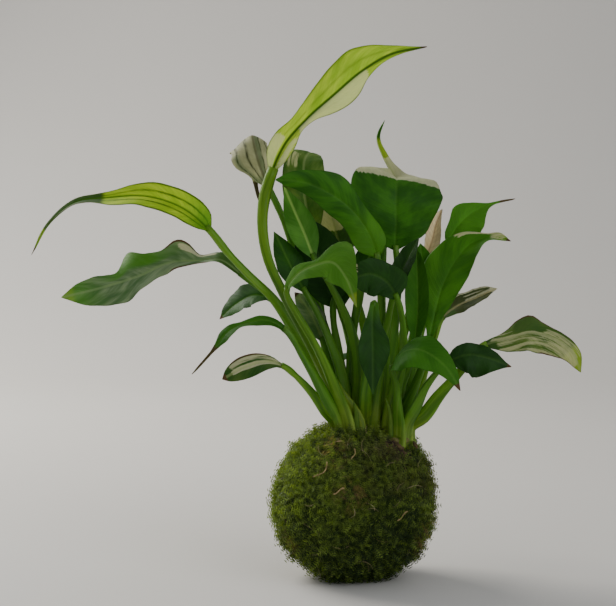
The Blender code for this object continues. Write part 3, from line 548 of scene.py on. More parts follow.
# How far pale streaks run along a blade rather than along its side veins.
LENGTHWISE = {"cream_crumpled": 0.8, "olive": 0.9, "cream_striped": 0.9, "cream_centre": 0.92,
              "mottled": 0.8, "new_lime": 0.75}
# What the light that comes through a blade is multiplied by.
GREEN_TINT = (1.9, 1.75, 0.75)
NEUTRAL_TINT = (1.40, 1.34, 1.10)
# Stalks thicker than the others, as a share of the usual thickness.
THICK_STALKS = {"leaf_top_new": 1.75, "leaf_left_arching": 1.15, "leaf_right_long": 1.25,
                "leaf_inner_centre": 1.3, "leaf_back_dark": 1.2}

# The ball ------------------------------------------------------------------

BALL_RADII = (55.0, 54.0, 54.0)
BALL_CENTRE = (0.0, 0.0, 51.5)
BALL_SEGMENTS = 120
BALL_RINGS = 84
# Broad lumps: share of the radius, how often they come along X, Y and Z, and phase.
LUMPS = (
    (0.011, (5.0, 2.0, 3.0), 0.5),
    (0.009, (-3.0, 6.0, 4.0), 1.7),
    (0.006, (2.0, -5.0, 9.0), 2.9),
)
SHOULDER_AIM = (0.66, -0.08, 0.75)  # where the moss is raised on the right
SHOULDER_HEIGHT = 4.0
SHOULDER_SPREAD = 0.32
BARE_AIM = (0.53, -0.37, 0.76)      # where soil shows beside the right crown
BARE_SPREAD = 0.17
BARE_BORDER = 0.07
SOIL_INSET = 1.4                    # how much lower bare soil lies than the mat
HOLLOW_LEVEL = 80.0                 # over this height the mat dips between the crowns
HOLLOW_CENTRE = (12.5, 4.0)
HOLLOW_RADII = (31.0, 25.0)
HOLLOW_DEPTH = 1.8
FLOOR_CLEARANCE = 0.4               # lowest point of the mat
SCATTER_FLOOR = 0.2                 # lowest point of shoots, strands and crumbs

# Coloured patches of moss: place of the middle, and radius.
OLIVE_SPOTS = ((24, -38, 84, 26), (50, -14, 62, 22), (20, 45, 75, 24))
RUSTY_SPOTS = ((-15, -34, 93, 15), (-45, -22, 24, 13), (46, -22, 30, 15), (-2, -52, 66, 13),
               (-20, 44, 80, 17))
ROOT_COLOUR = (0.14, 0.095, 0.055)

# Bands of shoots, one piece each: name, and the heights in metres they lie between.
MOSS_BANDS = (("low", -1.0, 0.026), ("middle", 0.026, 0.052), ("upper", 0.052, 0.078),
              ("high", 0.078, 1.0))
SHOOTS = (("shoot_a", 0.35, 1.0), ("shoot_b", -0.45, 0.85), ("shoot_c", 0.8, 1.15))
STRAWS = (("straw_a", 0.15), ("straw_b", -0.3), ("straw_c", 0.45))
CRUMBS = (("crumb_a", 1.0), ("crumb_b", 5.0), ("crumb_c", 9.0))
SIZE_RANGE = (0.55, 1.55)           # smallest and largest scattered piece, as shares of the usual
STRAWS_PER_AREA = 7500.0            # on each square metre
STRAW_LENGTH = 0.0085               # metres
STRAW_SEED_SHIFT = 20

# Sheaths: crown and slot, the line each follows upwards, and half its width.
SHEATHS = (
    ("sheath_left", "front_left", 8, ((1, -11, 112), (-1, -14, 122)), 3.4),
    ("sheath_right", "front_right", 6, ((24, -11, 111), (20, -14, 124)), 3.0),
)

# Dry bits on the moss: heading and height angle in degrees, direction along
# the surface, length, how far the ends curl up, and half the thickness.
TWIGS = (
    ("dry_needle_1", 246, 52, 15, 12, 1.5, 0.55),
    ("dry_needle_2", 243, 30, 60, 13, 2.5, 0.65),
    ("dry_needle_3", 258, 17, 25, 8, 2.0, 0.7),
    ("dry_needle_4", 268, 43, 78, 8, 1.0, 0.5),
    ("dry_needle_5", 301, -1, 30, 9, 1.5, 0.55),
    ("dry_needle_6", 20, 30, 60, 10, 1.5, 0.7),
    ("dry_needle_7", 95, 25, 20, 11, 2.0, 0.8),
    ("dry_needle_8", 160, 12, 50, 10, 1.5, 0.7),
)
FLAKES = ("bark_flake_1", "bark_flake_2", "bark_flake_3")

# The stage, in metres ------------------------------------------------------

FLOOR_REACH = 8.0
FLOOR_BACK = 1.1                    # where the floor starts to bend up into the backdrop
FLOOR_BEND = 0.6
WALL_TOP = 2.6
CAMERA_TARGET = (-0.031, 0.0, 0.185)
CAMERA_PITCH = 4.0                  # degrees the camera looks down
LIGHT_TARGET = (-0.02, 0.0, 0.17)


# Sizes and colours that can be changed in the sidebar ----------------------

class KokedamaLeafSettings(bpy.types.PropertyGroup):
    """Leaves and their stalks."""
    vein_gap: FloatProperty(
        name="Vein Gap", description="Distance between side veins along the midrib",
        default=0.0034, min=0.001, max=0.01, unit="LENGTH")
    vein_depth: FloatProperty(
        name="Vein Depth", description="How far the side veins sink into the blade",
        default=0.00007, min=0.0, max=0.001, unit="LENGTH")
    vein_sweep: FloatProperty(
        name="Vein Sweep", description="How far the side veins run forward, as a share of the length",
        default=0.19, min=0.0, max=0.24, subtype="FACTOR")
    blade_thickness: FloatProperty(
        name="Blade Thickness", description="Thickness of a blade beside its midrib",
        default=0.00045, min=0.0001, max=0.002, unit="LENGTH")
    stalk_foot: FloatProperty(
        name="Stalk Foot Radius", description="Half the width of a stalk's sheathing foot",
        default=0.0054, min=0.001, max=0.008, unit="LENGTH")
    stalk_neck: FloatProperty(
        name="Stalk Neck Radius", description="Half the width of a stalk under its blade",
        default=0.0021, min=0.0005, max=0.004, unit="LENGTH")
    seed: IntProperty(name="Seed", description="Start of the leaves' random waves", default=7)


class KokedamaMossSettings(bpy.types.PropertyGroup):
    """The moss skin of the ball."""
    shoot_length: FloatProperty(
        name="Shoot Length", description="Length of an average moss shoot",
        default=0.0056, min=0.001, max=0.02, unit="LENGTH")
    shoots_per_area: FloatProperty(
        name="Shoots per Area", description="Moss shoots on each square metre of the ball",
        default=1000000.0, min=1000.0)
    mat_depth: FloatProperty(
        name="Mat Depth", description="How deep the mat under the shoots lies",
        default=0.0038, min=0.0, max=0.01, unit="LENGTH")
    deep_green: FloatVectorProperty(
        name="Deep Green", description="Colour of the moss in the shade",
        default=(0.021, 0.044, 0.009), subtype="COLOR", min=0.0, max=1.0)
    bright_green: FloatVectorProperty(
        name="Bright Green", description="Colour of young shoot tips",
        default=(0.190, 0.280, 0.040), subtype="COLOR", min=0.0, max=1.0)
    olive: FloatVectorProperty(
        name="Olive", description="Colour of older, drier moss",
        default=(0.120, 0.100, 0.038), subtype="COLOR", min=0.0, max=1.0)
    seed: IntProperty(name="Seed", description="Start of the shoots' random places", default=11)


class KokedamaSoilSettings(bpy.types.PropertyGroup):
    """Soil, crowns and dry bits."""
    crumb_size: FloatProperty(
        name="Crumb Size", description="Size of an average crumb of soil",
        default=0.0016, min=0.0002, max=0.01, unit="LENGTH")
    crumbs_per_area: FloatProperty(
        name="Crumbs per Area", description="Crumbs on each square metre of bare soil",
        default=420000.0, min=0.0)
    soil_colour: FloatVectorProperty(
        name="Soil Colour", description="Colour of damp soil", default=(0.040, 0.024, 0.013),
        subtype="COLOR", min=0.0, max=1.0)
    straw_colour: FloatVectorProperty(
        name="Straw Colour", description="Colour of the dry bits on the moss",
        default=(0.34, 0.25, 0.11), subtype="COLOR", min=0.0, max=1.0)
    seed: IntProperty(name="Seed", description="Start of the crumbs' random places", default=3)


class KokedamaStageSettings(bpy.types.PropertyGroup):
    """Floor, backdrop, lights and camera."""
    floor_colour: FloatVectorProperty(
        name="Floor Colour", description="Colour of the floor and the backdrop",
        default=(0.62, 0.60, 0.57), subtype="COLOR", min=0.0, max=1.0)
    key_power: FloatProperty(
        name="Key Power", description="Power of the large soft light behind on the left",
        default=34.0, min=0.0, unit="POWER")
    fill_power: FloatProperty(
        name="Fill Power", description="Power of the soft light in front", default=12.5, min=0.0,
        unit="POWER")
    camera_distance: FloatProperty(
        name="Camera Distance", description="Distance from the camera to the plant", default=1.2,
        min=0.1, unit="LENGTH")
    camera_lens: FloatProperty(
        name="Focal Length", description="Focal length in millimetres", default=105.2, min=1.0,
        unit="CAMERA")


# Small helpers -------------------------------------------------------------

def new_object(name, data):
    made = bpy.data.objects.new(name, data)
    bpy.context.scene.collection.objects.link(made)
    return made


def stand_for(piece, slot, *nodes):
    """Let a finished piece move with the plant and stand for its solid nodes."""
    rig.ride(piece, BODY)
    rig.slot(piece, slot)
    if nodes:
        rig.replaces(piece, *nodes)


def add_piece(name, mesh, material, slot, *nodes):
    piece = new_object(name, mesh)
    mesh.materials.append(material)
    stand_for(piece, slot, *nodes)


def feed(tree, made, sockets):
    """Feed a node's inputs with values or links."""
    for key, value in sockets.items():
        if isinstance(value, bpy.types.NodeSocket):
            tree.links.new(value, made.inputs[key])
        elif isinstance(value, tuple) and len(value) == 3 and made.inputs[key].type == "RGBA":
            made.inputs[key].default_value = (*value, 1.0)
        else:
            made.inputs[key].default_value = value


def node(tree, kind, sockets=None, **settings):
    """Add a node, set its settings, and feed its inputs."""
    made = tree.nodes.new(kind)
    for name, value in settings.items():
        setattr(made, name, value)
    feed(tree, made, sockets or {})
    return made


def maths(tree, operation, first, second=0.0, third=0.0):
    """One sum. MULTIPLY_ADD is first times second plus third."""
    return node(tree, "ShaderNodeMath", {0: first, 1: second, 2: third},
                operation=operation).outputs[0]


def product(tree, first, second):
    return maths(tree, "MULTIPLY", first, second)


def swayed(tree, value, mask, amount):
    """A value shifted up and down where a mask is over and under one half."""
    return maths(tree, "MULTIPLY_ADD", maths(tree, "SUBTRACT", mask, 0.5), amount, value)


def soft_step(tree, value, low, high):
    """0 at low and 1 at high, with a soft change between them."""
    return node(tree, "ShaderNodeMapRange", {0: value, 1: low, 2: high, 3: 0.0, 4: 1.0},
                interpolation_type="SMOOTHSTEP").outputs[0]


def mix(tree, share, first, second, blend_type="MIX"):
    made = node(tree, "ShaderNodeMix", {0: share, 6: first, 7: second}, data_type="RGBA",
                blend_type=blend_type)
    return made.outputs[2]


def speckle(tree, place, scale, detail=2.0, roughness=0.5, distortion=0.0):
    made = node(tree, "ShaderNodeTexNoise",
                {"Vector": place, "Scale": scale, "Detail": detail, "Roughness": roughness,
                 "Distortion": distortion})
    return made.outputs["Fac"]


def stretched(tree, place, factors):
    return node(tree, "ShaderNodeVectorMath", {0: place, 1: factors},
                operation="MULTIPLY").outputs[0]


def read_value(tree, name, output="Fac"):
    """What a mesh attribute holds at the shaded spot."""
    return node(tree, "ShaderNodeAttribute", attribute_name=name).outputs[output]


def split(tree, vector):
    return node(tree, "ShaderNodeSeparateXYZ", {0: vector}).outputs


def surface_group(name, inputs, outputs):
    """An empty shader group from (name, type, default) inputs and (name, type) outputs."""
    group = bpy.data.node_groups.new(name, "ShaderNodeTree")
    for label, kind, default in inputs:
        socket = group.interface.new_socket(name=label, in_out="INPUT", socket_type=kind)
        socket.default_value = (*default, 1.0) if kind == COLOUR else default
    for label, kind in outputs:
        group.interface.new_socket(name=label, in_out="OUTPUT", socket_type=kind)
    entry = group.nodes.new("NodeGroupInput")
    leaving = group.nodes.new("NodeGroupOutput")
    return group, entry.outputs, leaving.inputs


def put_out(group, leaving, **values):
    """Link a group's results to its named output sockets."""
    for label, value in values.items():
        group.links.new(value, leaving[label])


def use_group(tree, group, values):
    return node(tree, "ShaderNodeGroup", values, node_tree=group).outputs


def new_material(name):
    """A material with its tree and its Principled shader."""
    material = bpy.data.materials.new(name)
    material.use_nodes = True
    tree = material.node_tree
    return material, tree, tree.nodes["Principled BSDF"]


def add_relief(tree, shader, height, strength, distance):
    """Bump the shader's normal with a height, and return that normal."""
    relief = node(tree, "ShaderNodeBump",
                  {"Height": height, "Strength": strength, "Distance": distance}).outputs[0]
    tree.links.new(relief, shader.inputs["Normal"])
    return relief


def let_light_through(tree, shader, share, **sockets):
    """Mix a translucent shader with the material's own one."""
    through = node(tree, "ShaderNodeBsdfTranslucent", sockets)
    both = node(tree, "ShaderNodeMixShader",
                {0: share, 1: shader.outputs[0], 2: through.outputs[0]})
    tree.links.new(both.outputs[0], tree.nodes["Material Output"].inputs["Surface"])


def darker_and_paler(colour, dark, pale):
    """Two shades of a colour, each a multiple of it."""
    return tuple(dark * value for value in colour), tuple(pale * value for value in colour)


COLOUR = "NodeSocketColor"
VALUE = "NodeSocketFloat"


def grain_group():
    """Grain at two sizes: a mask for colour and a height for relief."""
    group, entry, leaving = surface_group(
        "grain",
        (("Coarse Scale", VALUE, 200.0), ("Fine Scale", VALUE, 900.0), ("Stretch", VALUE, 1.0)),
        (("Mask", VALUE), ("Height", VALUE)))
    stretch = node(group, "ShaderNodeCombineXYZ", {0: 1.0, 1: 1.0, 2: entry["Stretch"]}).outputs[0]
    place = stretched(group, node(group, "ShaderNodeTexCoord").outputs["Object"], stretch)
    coarse = speckle(group, place, entry["Coarse Scale"], 4.0, 0.6)
    fine = speckle(group, place, entry["Fine Scale"], 3.0, 0.6)
    mask = maths(group, "ADD", product(group, coarse, 0.65), product(group, fine, 0.35))
    put_out(group, leaving, Mask=soft_step(group, mask, 0.32, 0.68), Height=mask)
    return group


# Mesh helpers --------------------------------------------------------------

def mesh_of(name, points, faces):
    mesh = bpy.data.meshes.new(name)
    mesh.from_pydata(points, [], faces)
    return mesh


def mesh_from_shape(name, shape):
    mesh = bpy.data.meshes.new(name)
    shape.to_mesh(mesh)
    shape.free()
    return mesh


def store(mesh, name, values, kind="FLOAT", field="value", domain="POINT"):
    """Keep one number, vector or colour for each point or face of a mesh."""
    layer = mesh.attributes.new(name, kind, domain)
    layer.data.foreach_set(field, numpy.array(values, dtype=numpy.float32).ravel())


def grid_faces(rows, columns, flip=False):
    """Faces of a sheet of rows of points."""
    faces = []
    for row in range(rows - 1):
        for column in range(columns - 1):
            a = row * columns + column
            quad = (a, a + 1, a + columns + 1, a + columns)
            faces.append(quad[::-1] if flip else quad)
    return faces


def tube_faces(rings, around):
    """Faces of a tube of rings of points, closed at both ends."""
    faces = []
    for ring in range(rings - 1):
        for column in range(around):
            a = ring * around + column
            b = ring * around + (column + 1) % around
            faces.append((a, b, b + around, a + around))
    last = (rings - 1) * around
    faces.append(tuple(range(around))[::-1])
    faces.append(tuple(range(last, last + around)))
    return faces


# Leaf materials ------------------------------------------------------------

def blade_group():
    """Colour, light that comes through, roughness and relief of a leaf blade.

    It reads the blade's own attributes: place_mm (across, along and seed),
    vein (a whole number on each side vein), zones (cream, brown, shade and
    fresh green), lime (lime over 0, dark green under it) and under (1 on the
    lower face).
    """
    group, entry, leaving = surface_group(
        "leaf_blade",
        (("Deep", COLOUR, (0.02, 0.08, 0.01)), ("Light", COLOUR, (0.04, 0.14, 0.02)),
         ("Vein", COLOUR, (0.05, 0.16, 0.02)), ("Cream", COLOUR, (0.56, 0.56, 0.30)),
         ("Mottle", VALUE, 0.6), ("Veins", VALUE, 0.5), ("Long Veins", VALUE, 0.0),
         ("Rim", VALUE, 0.2), ("Rib", COLOUR, (0.2, 0.4, 0.1)), ("Rib Share", VALUE, 0.3),
         ("Line Count", VALUE, 1.9), ("Lengthwise", VALUE, 0.0),
         ("Tint", COLOUR, (1.9, 1.75, 0.75))),
        (("Colour", COLOUR), ("Glow", COLOUR), ("Roughness", VALUE), ("Height", VALUE)))
    place = read_value(group, "place_mm", "Vector")
    across = split(group, place)[0]
    side = split(group, node(group, "ShaderNodeUVMap", uv_map="leaf_uv").outputs[0])[0]
    edge = maths(group, "ABSOLUTE", maths(group, "MULTIPLY_ADD", side, 2.0, -1.0))
    zones = node(group, "ShaderNodeAttribute", attribute_name="zones").outputs
    fresh_zone = zones["Alpha"]
    cream_zone, brown_zone, shade = node(group, "ShaderNodeSeparateColor",
                                         {0: zones["Color"]}).outputs[:3]
    lime_or_green = read_value(group, "lime")
    under = read_value(group, "under")
    vein_count = read_value(group, "vein")

    patches = speckle(group, place, 0.07, 3.0, 0.55)
    fine = speckle(group, place, 0.55, 4.0, 0.65)
    streaks = speckle(group, stretched(group, place, (0.07, 0.62, 1.0)), 1.0, 4.0, 0.62, 0.3)
    long_streaks = speckle(group, stretched(group, place, (0.42, 0.022, 1.0)), 1.0, 4.0, 0.62, 0.3)
    streaks = maths(group, "MULTIPLY_ADD", maths(group, "SUBTRACT", long_streaks, streaks),
                    entry["Lengthwise"], streaks)
    fibres = speckle(group, stretched(group, place, (1.6, 0.16, 1.0)), 1.0, 3.0, 0.6)

    def lines(phase, sharp):
        """1 along whole numbers of a phase, 0 between them."""
        off = maths(group, "SUBTRACT", maths(group, "FRACT", phase), 0.5)
        return soft_step(group, maths(group, "ABSOLUTE", off), 0.5 - sharp, 0.5)

    def zone_share(zone, mask, amount, edges, least):
        """A zone with a border broken up by a mask, and nothing where there is no zone."""
        share = soft_step(group, swayed(group, zone, mask, amount), *edges)
        return product(group, share, soft_step(group, zone, *least))

    side_veins = lines(vein_count, 0.16)
    small_veins = lines(product(group, vein_count, 4.0), 0.22)
    long_veins = lines(maths(group, "MULTIPLY_ADD", edge, entry["Line Count"], 0.2), 0.20)
    midrib = soft_step(group, maths(group, "ABSOLUTE", across), 1.3, 0.35)

    tissue = swayed(group, swayed(group, 0.5, streaks, 0.4), patches, 1.5)
    tissue = product(group, soft_step(group, tissue, 0.25, 0.8), entry["Mottle"])
    colour = mix(group, tissue, entry["Deep"], entry["Light"])
    clear = product(group, side_veins, entry["Veins"])
    faint = product(group, small_veins, product(group, entry["Veins"], 0.35))
    stripes = product(group, product(group, long_veins, entry["Long Veins"]),
                      soft_step(group, fibres, 0.25, 0.6))
    for share in (clear, faint, stripes):
        colour = mix(group, share, colour, entry["Vein"])

    fresh_share = product(group, fresh_zone, 0.85)
    lime_share = soft_step(group, lime_or_green, 0.15, 0.75)
    green_share = soft_step(group, product(group, lime_or_green, -1.0), 0.15, 0.75)
    for share, dark, pale in (
            (fresh_share, (0.060, 0.210, 0.008), (0.110, 0.310, 0.016)),
            (lime_share, (0.22, 0.36, 0.02), (0.40, 0.50, 0.05)),
            (green_share, (0.035, 0.11, 0.012), (0.080, 0.16, 0.030))):
        colour = mix(group, share, colour, mix(group, patches, dark, pale))

    cream_share = zone_share(cream_zone, streaks, 1.7, (0.42, 0.62), (0.02, 0.2))
    creamy = mix(group, product(group, fine, 0.5), entry["Cream"], colour)
    colour = mix(group, cream_share, colour, creamy)

    colour = mix(group, product(group, midrib, entry["Rib Share"]), colour, entry["Rib"])
    rim = product(group, soft_step(group, edge, 0.90, 0.985), entry["Rim"])
    dark_rim = mix(group, 0.5, entry["Deep"], (0.02, 0.03, 0.008))
    colour = mix(group, rim, colour, dark_rim)

    brown_share = zone_share(brown_zone, fine, 0.8, (0.4, 0.7), (0.05, 0.3))
    brown = mix(group, patches, (0.075, 0.040, 0.015), (0.17, 0.105, 0.045))
    colour = mix(group, brown_share, colour, brown)
    shading = maths(group, "MULTIPLY_ADD", shade, 0.7, 0.65)
    colour = mix(group, 1.0, colour, shading, "MULTIPLY")

    pale_under = mix(group, 0.24, colour, (0.20, 0.30, 0.13))
    colour = mix(group, under, colour, pale_under)
    tint = mix(group, cream_share, entry["Tint"], (1.40, 1.36, 1.05))
    glow = mix(group, 1.0, colour, tint, "MULTIPLY")
    glow = mix(group, brown_share, glow, brown)
    rough = maths(group, "MULTIPLY_ADD", fine, 0.22, 0.40)
    for mask, amount in ((under, 0.12), (brown_share, 0.25)):
        rough = maths(group, "MULTIPLY_ADD", mask, amount, rough)
    height = product(group, fine, 0.22)
    for mask, amount in ((side_veins, -0.45), (small_veins, -0.20), (stripes, -0.6)):
        height = maths(group, "MULTIPLY_ADD", mask, amount, height)
    put_out(group, leaving, Colour=colour, Glow=glow, Roughness=rough, Height=height)
    return group


def blade_material(name, finish, group):
    material, tree, shader = new_material("blade_" + name)
    made = use_group(tree, group, {
        "Deep": finish.deep, "Light": finish.light, "Vein": finish.vein, "Cream": finish.cream,
        "Mottle": finish.mottle, "Veins": finish.veins, "Long Veins": finish.long_veins,
        "Rim": finish.rim, "Rib": finish.rib, "Rib Share": finish.rib_share,
        "Line Count": LINE_COUNTS.get(name, USUAL_LINE_COUNT),
        "Lengthwise": LENGTHWISE.get(name, 0.0),
        "Tint": NEUTRAL_TINT if name in ("dry", "cream_crumpled") else GREEN_TINT})
    feed(tree, shader, {"Base Color": made["Colour"], "Roughness": made["Roughness"],
                        "Specular IOR Level": 0.19})
    normal = add_relief(tree, shader, made["Height"], strength=0.40, distance=0.0003)
    let_light_through(tree, shader, finish.glow, Color=made["Glow"], Normal=normal)
    return material


def stalk_group():
    """Colour and relief of a stalk, from its pale foot to its neck."""
    group, entry, leaving = surface_group(
        "leaf_stalk",
        (("Foot", COLOUR, (0.30, 0.36, 0.08)), ("Middle", COLOUR, (0.05, 0.15, 0.02)),
         ("Neck", COLOUR, (0.08, 0.20, 0.03))),
        (("Colour", COLOUR), ("Glow", COLOUR), ("Roughness", VALUE), ("Height", VALUE)))
    place = read_value(group, "place_mm", "Vector")
    along = split(group, node(group, "ShaderNodeUVMap", uv_map="leaf_uv").outputs[0])[1]
    fibres = speckle(group, stretched(group, place, (1.5, 0.05, 1.0)), 1.0, 3.0, 0.6)
    patches = speckle(group, place, 0.10, 3.0, 0.6)
    shift = swayed(group, along, patches, 0.25)
    colour = mix(group, soft_step(group, shift, 0.0, 0.42), entry["Foot"], entry["Middle"])
    colour = mix(group, soft_step(group, shift, 0.55, 0.95), colour, entry["Neck"])
    bands = speckle(group, stretched(group, place, (0.30, 0.012, 1.0)), 1.0, 3.0, 0.55)
    # Painted shade: where the lengthwise bands are low, the stalk is darkened as if shaded.
    painted_shade = mix(group, 1.0, colour, (0.50, 0.60, 0.55), "MULTIPLY")
    colour = mix(group, soft_step(group, bands, 0.56, 0.36), colour, painted_shade)
    pale = mix(group, 0.5, colour, (0.32, 0.42, 0.12))
    pale_fibres = product(group, soft_step(group, fibres, 0.5, 0.75), 0.35)
    pale_bands = product(group, soft_step(group, bands, 0.58, 0.70), 0.55)
    for share in (pale_fibres, pale_bands):
        colour = mix(group, share, colour, pale)
    put_out(group, leaving, Colour=colour,
            Glow=mix(group, 1.0, colour, (1.7, 1.6, 0.7), "MULTIPLY"),
            Roughness=maths(group, "MULTIPLY_ADD", patches, 0.2, 0.30),
            Height=product(group, fibres, 0.8))
    return group


def stalk_material(name, foot, middle, neck, group):
    material, tree, shader = new_material("stalk_" + name)
    made = use_group(tree, group, {"Foot": foot, "Middle": middle, "Neck": neck})
    feed(tree, shader, {"Base Color": made["Colour"], "Roughness": made["Roughness"],
                        "Specular IOR Level": 0.22})
    add_relief(tree, shader, made["Height"], strength=0.4, distance=0.0004)
    let_light_through(tree, shader, 0.30, Color=made["Glow"])
    return material


STALKS = {
    "pale": ((0.36, 0.48, 0.08), (0.150, 0.330, 0.022), (0.160, 0.330, 0.022)),
    "dark": ((0.33, 0.47, 0.065), (0.115, 0.290, 0.022), (0.090, 0.240, 0.016)),
    "lime": ((0.34, 0.46, 0.07), (0.120, 0.270, 0.016), (0.170, 0.320, 0.020)),
}
STALK_OF = {"new_lime": "lime", "striped_lime": "pale", "bright": "pale", "bright_smooth": "pale",
            "cream_centre": "pale", "cream_striped": "pale", "olive": "pale", "dry": "pale"}


# Leaf shapes ---------------------------------------------------------------

def smooth_curve(points, at, steps=ROUTE_STEPS):
    """Dense points of a smooth curve through the given ones."""
    knots = numpy.array(points, dtype=float)
    slopes = numpy.gradient(knots, at, axis=0)
    dense = []
    for index, span in enumerate(numpy.diff(at)):
        for t in numpy.arange(steps) / steps:
            start = (1 + 2 * t) * (1 - t) ** 2 * knots[index]
            start_pull = t * (1 - t) ** 2 * span * slopes[index]
            end = t * t * (3 - 2 * t) * knots[index + 1]
            end_pull = t * t * (t - 1) * span * slopes[index + 1]
            dense.append(start + start_pull + end + end_pull)
    dense.append(knots[-1])
    return numpy.array(dense)


class Route:
    """A smooth route through points, with a direction and a side at each distance along it."""

    def __init__(self, points, count=260):
        knots = numpy.array(points, dtype=float)
        dense = smooth_curve(points, self.run(knots))
        along = self.run(dense)
        self.knots_at = along[::ROUTE_STEPS]
        self.length = along[-1]
        self.at = numpy.linspace(0.0, self.length, count)
        self.places = numpy.stack([numpy.interp(self.at, along, dense[:, axis])
                                   for axis in range(3)], axis=1)
        towards = numpy.gradient(self.places, self.at, axis=0)
        self.directions = towards / numpy.linalg.norm(towards, axis=1, keepdims=True)
        side = numpy.cross(self.directions[0], (0.0, 1.0, 0.0))
        sides = []
        for direction in self.directions:
            side = side - direction * side.dot(direction)
            side = side / numpy.linalg.norm(side)
            sides.append(side)
        self.sides = numpy.array(sides)

    @staticmethod
    def run(places):
        """Distance along a chain of places, at each of them."""
        steps = numpy.linalg.norm(numpy.diff(places, axis=0), axis=1)
        return numpy.concatenate(([0.0], numpy.cumsum(steps)))

    def frame(self, distances):
        """Places, directions and sides at an array of distances."""
        flat = numpy.clip(numpy.ravel(distances), 0.0, self.length)
        picked = []
        for values in (self.places, self.directions, self.sides):
            columns = [numpy.interp(flat, self.at, values[:, axis]) for axis in range(3)]
            picked.append(numpy.stack(columns, axis=1).reshape(*numpy.shape(distances), 3))
        return picked


def listed(values, shares):
    """Smoothly interpolated values of an evenly spaced list at shares from 0 to 1."""
    at = numpy.linspace(0.0, 1.0, len(values))
    dense = smooth_curve([(value,) for value in values], at)[:, 0]
    return numpy.interp(shares, numpy.linspace(0.0, 1.0, len(dense)), dense)


def turned(directions, sides, angles):
    """Sides and upper normals after a turn about the direction, angles in degrees."""
    fronts = numpy.cross(directions, sides)
    cosines = numpy.cos(numpy.radians(angles))[..., None]
    sines = numpy.sin(numpy.radians(angles))[..., None]
    return sides * cosines + fronts * sines, fronts * cosines - sides * sines


